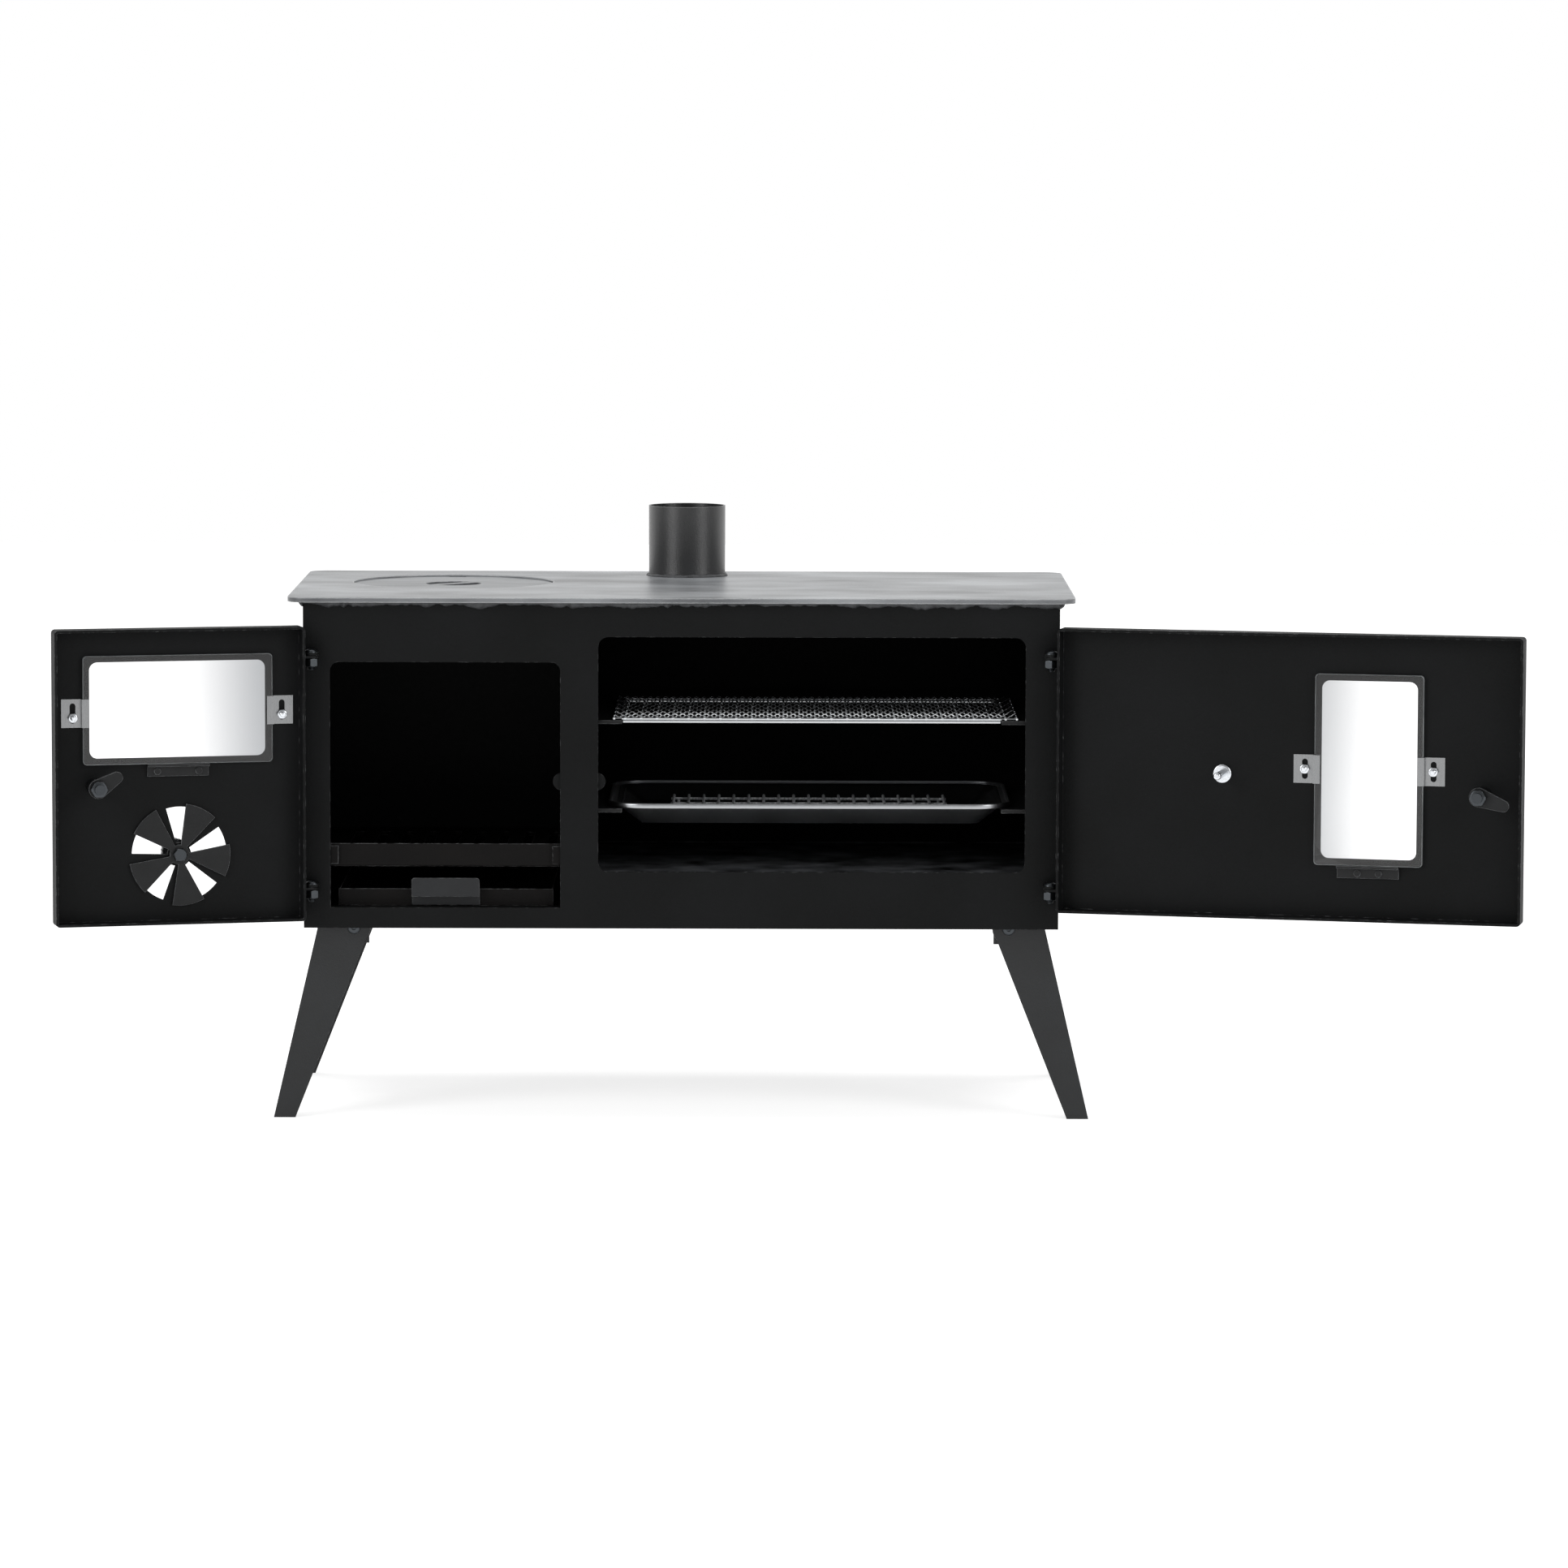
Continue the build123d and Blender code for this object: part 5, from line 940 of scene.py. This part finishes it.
# Net of the upper rack: crimped chromed wires lying on the cross wires.
# Each rises and falls as a sine along its length, and the next one half a wave later.
NET_ROWS = 11
NET_WAVE = 6.3 * MM
NET_RISE = 0.8 * MM
NET_WIRE = 0.5 * MM
NET_STEPS_PER_WAVE = 8
NET_HEIGHT = 2.1 * MM
NET_INSET = 5 * MM
NET_END = 0.6 * MM
NET_SWAY = 0.25 * MM
NET_SWAY_SPREAD = 60
net_low, net_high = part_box("oven_rack_mesh")
net_middle = rack_low.z + NET_HEIGHT
net_steps = int((net_high.x - net_low.x) / NET_WAVE * NET_STEPS_PER_WAVE)
net_x = np.linspace(net_low.x + NET_END, net_high.x - NET_END, net_steps)
net_rows = np.linspace(net_low.y + NET_INSET, net_high.y - NET_INSET, NET_ROWS)
phase = pi * (np.arange(NET_ROWS) % 2)[:, None]
net_paths = np.empty((NET_ROWS, net_steps, 3))
net_paths[..., 0] = net_x
net_sway = ragged(NET_ROWS * net_steps, NET_SWAY_SPREAD).reshape(NET_ROWS, -1)
net_paths[..., 1] = net_rows[:, None] + NET_SWAY * net_sway
net_paths[..., 2] = net_middle + NET_RISE * np.sin(2 * pi * (net_x - net_low.x) / NET_WAVE + phase)
net_wires = list(wires(net_paths, NET_WIRE, sides=6))
chrome_net = surface("oven_rack_net", net_wires, chromed_wire, "upper_rack", ring_columns=True, caps=True)
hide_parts("oven_rack_mesh")

# Spot welds on the upper rack: the small squashed blob where each cross wire meets the front
# and the back wire. Each is an ellipse turned about a vertical line.
BLOB_RADIUS = 1.3 * MM
BLOB_HEIGHT = 0.8 * MM
BLOB_TILT = 1.4
BLOB_LIFT = 0.4 * MM
blob_lift = np.linspace(-BLOB_TILT, BLOB_TILT, 6)
blob_turn = np.linspace(0, 2 * pi, 8, endpoint=False)
blob_cross = np.cos(blob_lift)[:, None]
blob = np.stack(
    [
        BLOB_RADIUS * blob_cross * np.cos(blob_turn),
        BLOB_RADIUS * blob_cross * np.sin(blob_turn),
        BLOB_HEIGHT * np.sin(blob_lift)[:, None] + 0 * blob_turn,
    ],
    axis=-1,
)
blob_places = [(x, y, wire_level + BLOB_LIFT) for y in long_y for x in cross_x.tolist()]
spot_welds = surface(
    "oven_rack_spot_welds", [blob + np.array(place) for place in blob_places], chromed_wire,
    "upper_rack", ring_columns=True, caps=True,
)

# Rack in the roasting tray: dull zinced wires from front to back, on four cross wires with feet.
# All are straight round wires, speckled where the zinc is worn.
RUNG_WIRE = 1.2 * MM
RUNG_PITCH = 12.2 * MM
RUNG_SINK = 2.2 * MM
RUNG_INSET = 6.0 * MM
dull_zinc, tree = new_material("worn dull zinc wire")
speck_place = add_node(tree, "TexCoord").outputs["Object"]
speck = add_node(tree, "TexNoise", {"Vector": speck_place, "Scale": 1 / (2.2 * MM), "Detail": 3.0})
speck_share = add_node(tree, "MapRange", {"Value": speck.outputs["Fac"], "From Min": 0.4, "From Max": 0.62})
speck_tone = add_node(
    tree, "Mix",
    {"Factor": speck_share.outputs["Result"], "A": linear("#a2a5a8"), "B": linear("#e8eaec")},
    data_type="RGBA",
)
zinc_skin = add_node(
    tree, "BsdfPrincipled", {"Base Color": speck_tone.outputs["Result"], "Metallic": 0.35, "Roughness": 0.4}
)
add_node(tree, "OutputMaterial", {"Surface": zinc_skin.outputs[0]})
rung_low, rung_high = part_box("tray_rack")
rung_level = rung_high.z - RUNG_WIRE
rung_half = (rung_high.x - rung_low.x) / 2
rung_count = 2 * int((rung_half - RUNG_WIRE) // RUNG_PITCH) + 1
rung_x = (rung_low.x + rung_high.x) / 2 + RUNG_PITCH * (np.arange(rung_count) - (rung_count - 1) / 2)
under_level = rung_level - RUNG_SINK
rungs = straight(
    [(x, rung_low.y, rung_level) for x in rung_x], [(x, rung_high.y, rung_level) for x in rung_x]
)
under_y = np.linspace(rung_low.y + RUNG_INSET, rung_high.y - RUNG_INSET, 4)
unders = straight(
    [(rung_low.x, y, under_level) for y in under_y], [(rung_high.x, y, under_level) for y in under_y]
)
foot_places = [
    (x, y) for x in (rung_low.x + RUNG_INSET, rung_high.x - RUNG_INSET) for y in (under_y[0], under_y[-1])
]
feet = straight(
    [(x, y, rung_low.z) for x, y in foot_places], [(x, y, under_level) for x, y in foot_places]
)
tray_rack_wires = surface(
    "tray_rack_wires",
    [*wires(rungs, RUNG_WIRE), *wires(unders, RUNG_WIRE), *wires(feet, RUNG_WIRE, reference=ACROSS)],
    dull_zinc, "tray_insert", ring_columns=True, caps=True,
)
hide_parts("tray_rack")

# Roasting tray: drawn from one stainless sheet, with sloping sides and a flattened rolled rim, and darker
# inside as a painted shade in its hollow. It is a rounded rectangle carried along a profile of insets and
# heights.
tray_steel = bright_metal("pressed stainless tray", "#a9abad", 0.32, 2.5)
tray_inside_shade_steel = bright_metal("stainless steel darkened inside as painted shade", "#4a4b4c", 0.4, 2.5)
TRAY_CORNER = 30.0 * MM
TRAY_LEAST_CORNER = 6.0 * MM
TRAY_RIM_OPENING = 0.25 * pi
TRAY_WALL = 1.0 * MM
TRAY_TAPER = 18.0 * MM
TRAY_RIM = 8.5 * MM
TRAY_RIM_BEAD = 1.6 * MM
TRAY_RIM_HALF = 2.1 * MM
TRAY_RIM_LIFT = 1.0 * MM
TRAY_RIM_SQUARE = 0.6
CORNER_STEPS = 14
tray_low, tray_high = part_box("roasting_tray")
bead_turn = np.linspace(TRAY_RIM_OPENING - pi, pi - TRAY_RIM_OPENING, 24) + pi
bead_bend = np.stack([np.cos(bead_turn), -np.sin(bead_turn)])
bead_bend = np.sign(bead_bend) * np.abs(bead_bend) ** TRAY_RIM_SQUARE
bead_inset = TRAY_RIM_BEAD * (1 + bead_bend[0])
bead_height = tray_high.z + TRAY_RIM_LIFT - TRAY_RIM_HALF + TRAY_RIM_HALF * bead_bend[1]
foot = tray_low.z
foot_inset = TRAY_RIM + TRAY_TAPER
inside = np.array(
    [
        [TRAY_RIM_BEAD * 2.1, tray_high.z - 1.3 * MM], [TRAY_RIM - 2.0 * MM, tray_high.z - 1.1 * MM],
        [TRAY_RIM - 0.4 * MM, tray_high.z - 1.8 * MM], [TRAY_RIM + 1.0 * MM, tray_high.z - 3.4 * MM],
        [foot_inset - 3.6 * MM, foot + 3.6 * MM], [foot_inset - 1.6 * MM, foot + 1.9 * MM],
        [foot_inset + 1.2 * MM, foot + TRAY_WALL + 0.1 * MM], [foot_inset + 4.0 * MM, foot + TRAY_WALL],
    ]
)
outside = inside[::-1] + np.array([[-TRAY_WALL, 0]])
outside[:, 1] = np.where(outside[:, 1] < foot + 1.9 * TRAY_WALL, foot, outside[:, 1] - 0.3 * TRAY_WALL)
tray_profile = np.vstack([outside, np.stack([bead_inset, bead_height], axis=1)[::-1], inside])
half_width = (tray_high.x - tray_low.x) / 2
half_depth = (tray_high.y - tray_low.y) / 2
corner_turn = np.linspace(0, pi / 2, CORNER_STEPS)
loop_centre = []
loop_way = []
for quarter in range(4):
    turn = corner_turn + quarter * pi / 2
    centre = np.array(
        [
            (half_width - TRAY_CORNER) * (1 if quarter in (0, 3) else -1),
            (half_depth - TRAY_CORNER) * (1 if quarter in (0, 1) else -1),
        ]
    )
    loop_centre.append(np.repeat(centre[None], CORNER_STEPS, axis=0))
    loop_way.append(np.stack([np.cos(turn), np.sin(turn)], axis=1))
loop_centre = np.vstack(loop_centre)
loop_way = np.vstack(loop_way)
corner_reach = np.maximum(TRAY_CORNER - tray_profile[:, :1], TRAY_LEAST_CORNER)
pull_in = np.maximum(tray_profile[:, :1] + TRAY_LEAST_CORNER - TRAY_CORNER, 0)
tray_points = np.empty((len(tray_profile), len(loop_way), 3))
tray_points[..., :2] = (
    loop_centre * (1 - pull_in[..., None] / np.array([half_width, half_depth]))
    + corner_reach[..., None] * loop_way
)
tray_points[..., :2] += np.array([(tray_low.x + tray_high.x) / 2, (tray_low.y + tray_high.y) / 2])
tray_points[..., 2] = tray_profile[:, 1:]
drawn_tray = surface("drawn_roasting_tray", [tray_points], tray_steel, "tray", ring_columns=True, caps=True)
drawn_tray.data.materials.append(tray_inside_shade_steel)
# Painted shade: the faces inside the tray take the darker steel.
tray_rows = np.repeat(np.arange(len(tray_profile) - 1), len(loop_way))
shaded_inside = np.r_[0, 1, np.where(tray_rows > len(tray_profile) - len(inside), 1, 0)]
drawn_tray.data.polygons.foreach_set("material_index", shaded_inside.astype(np.int32))
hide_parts("roasting_tray")
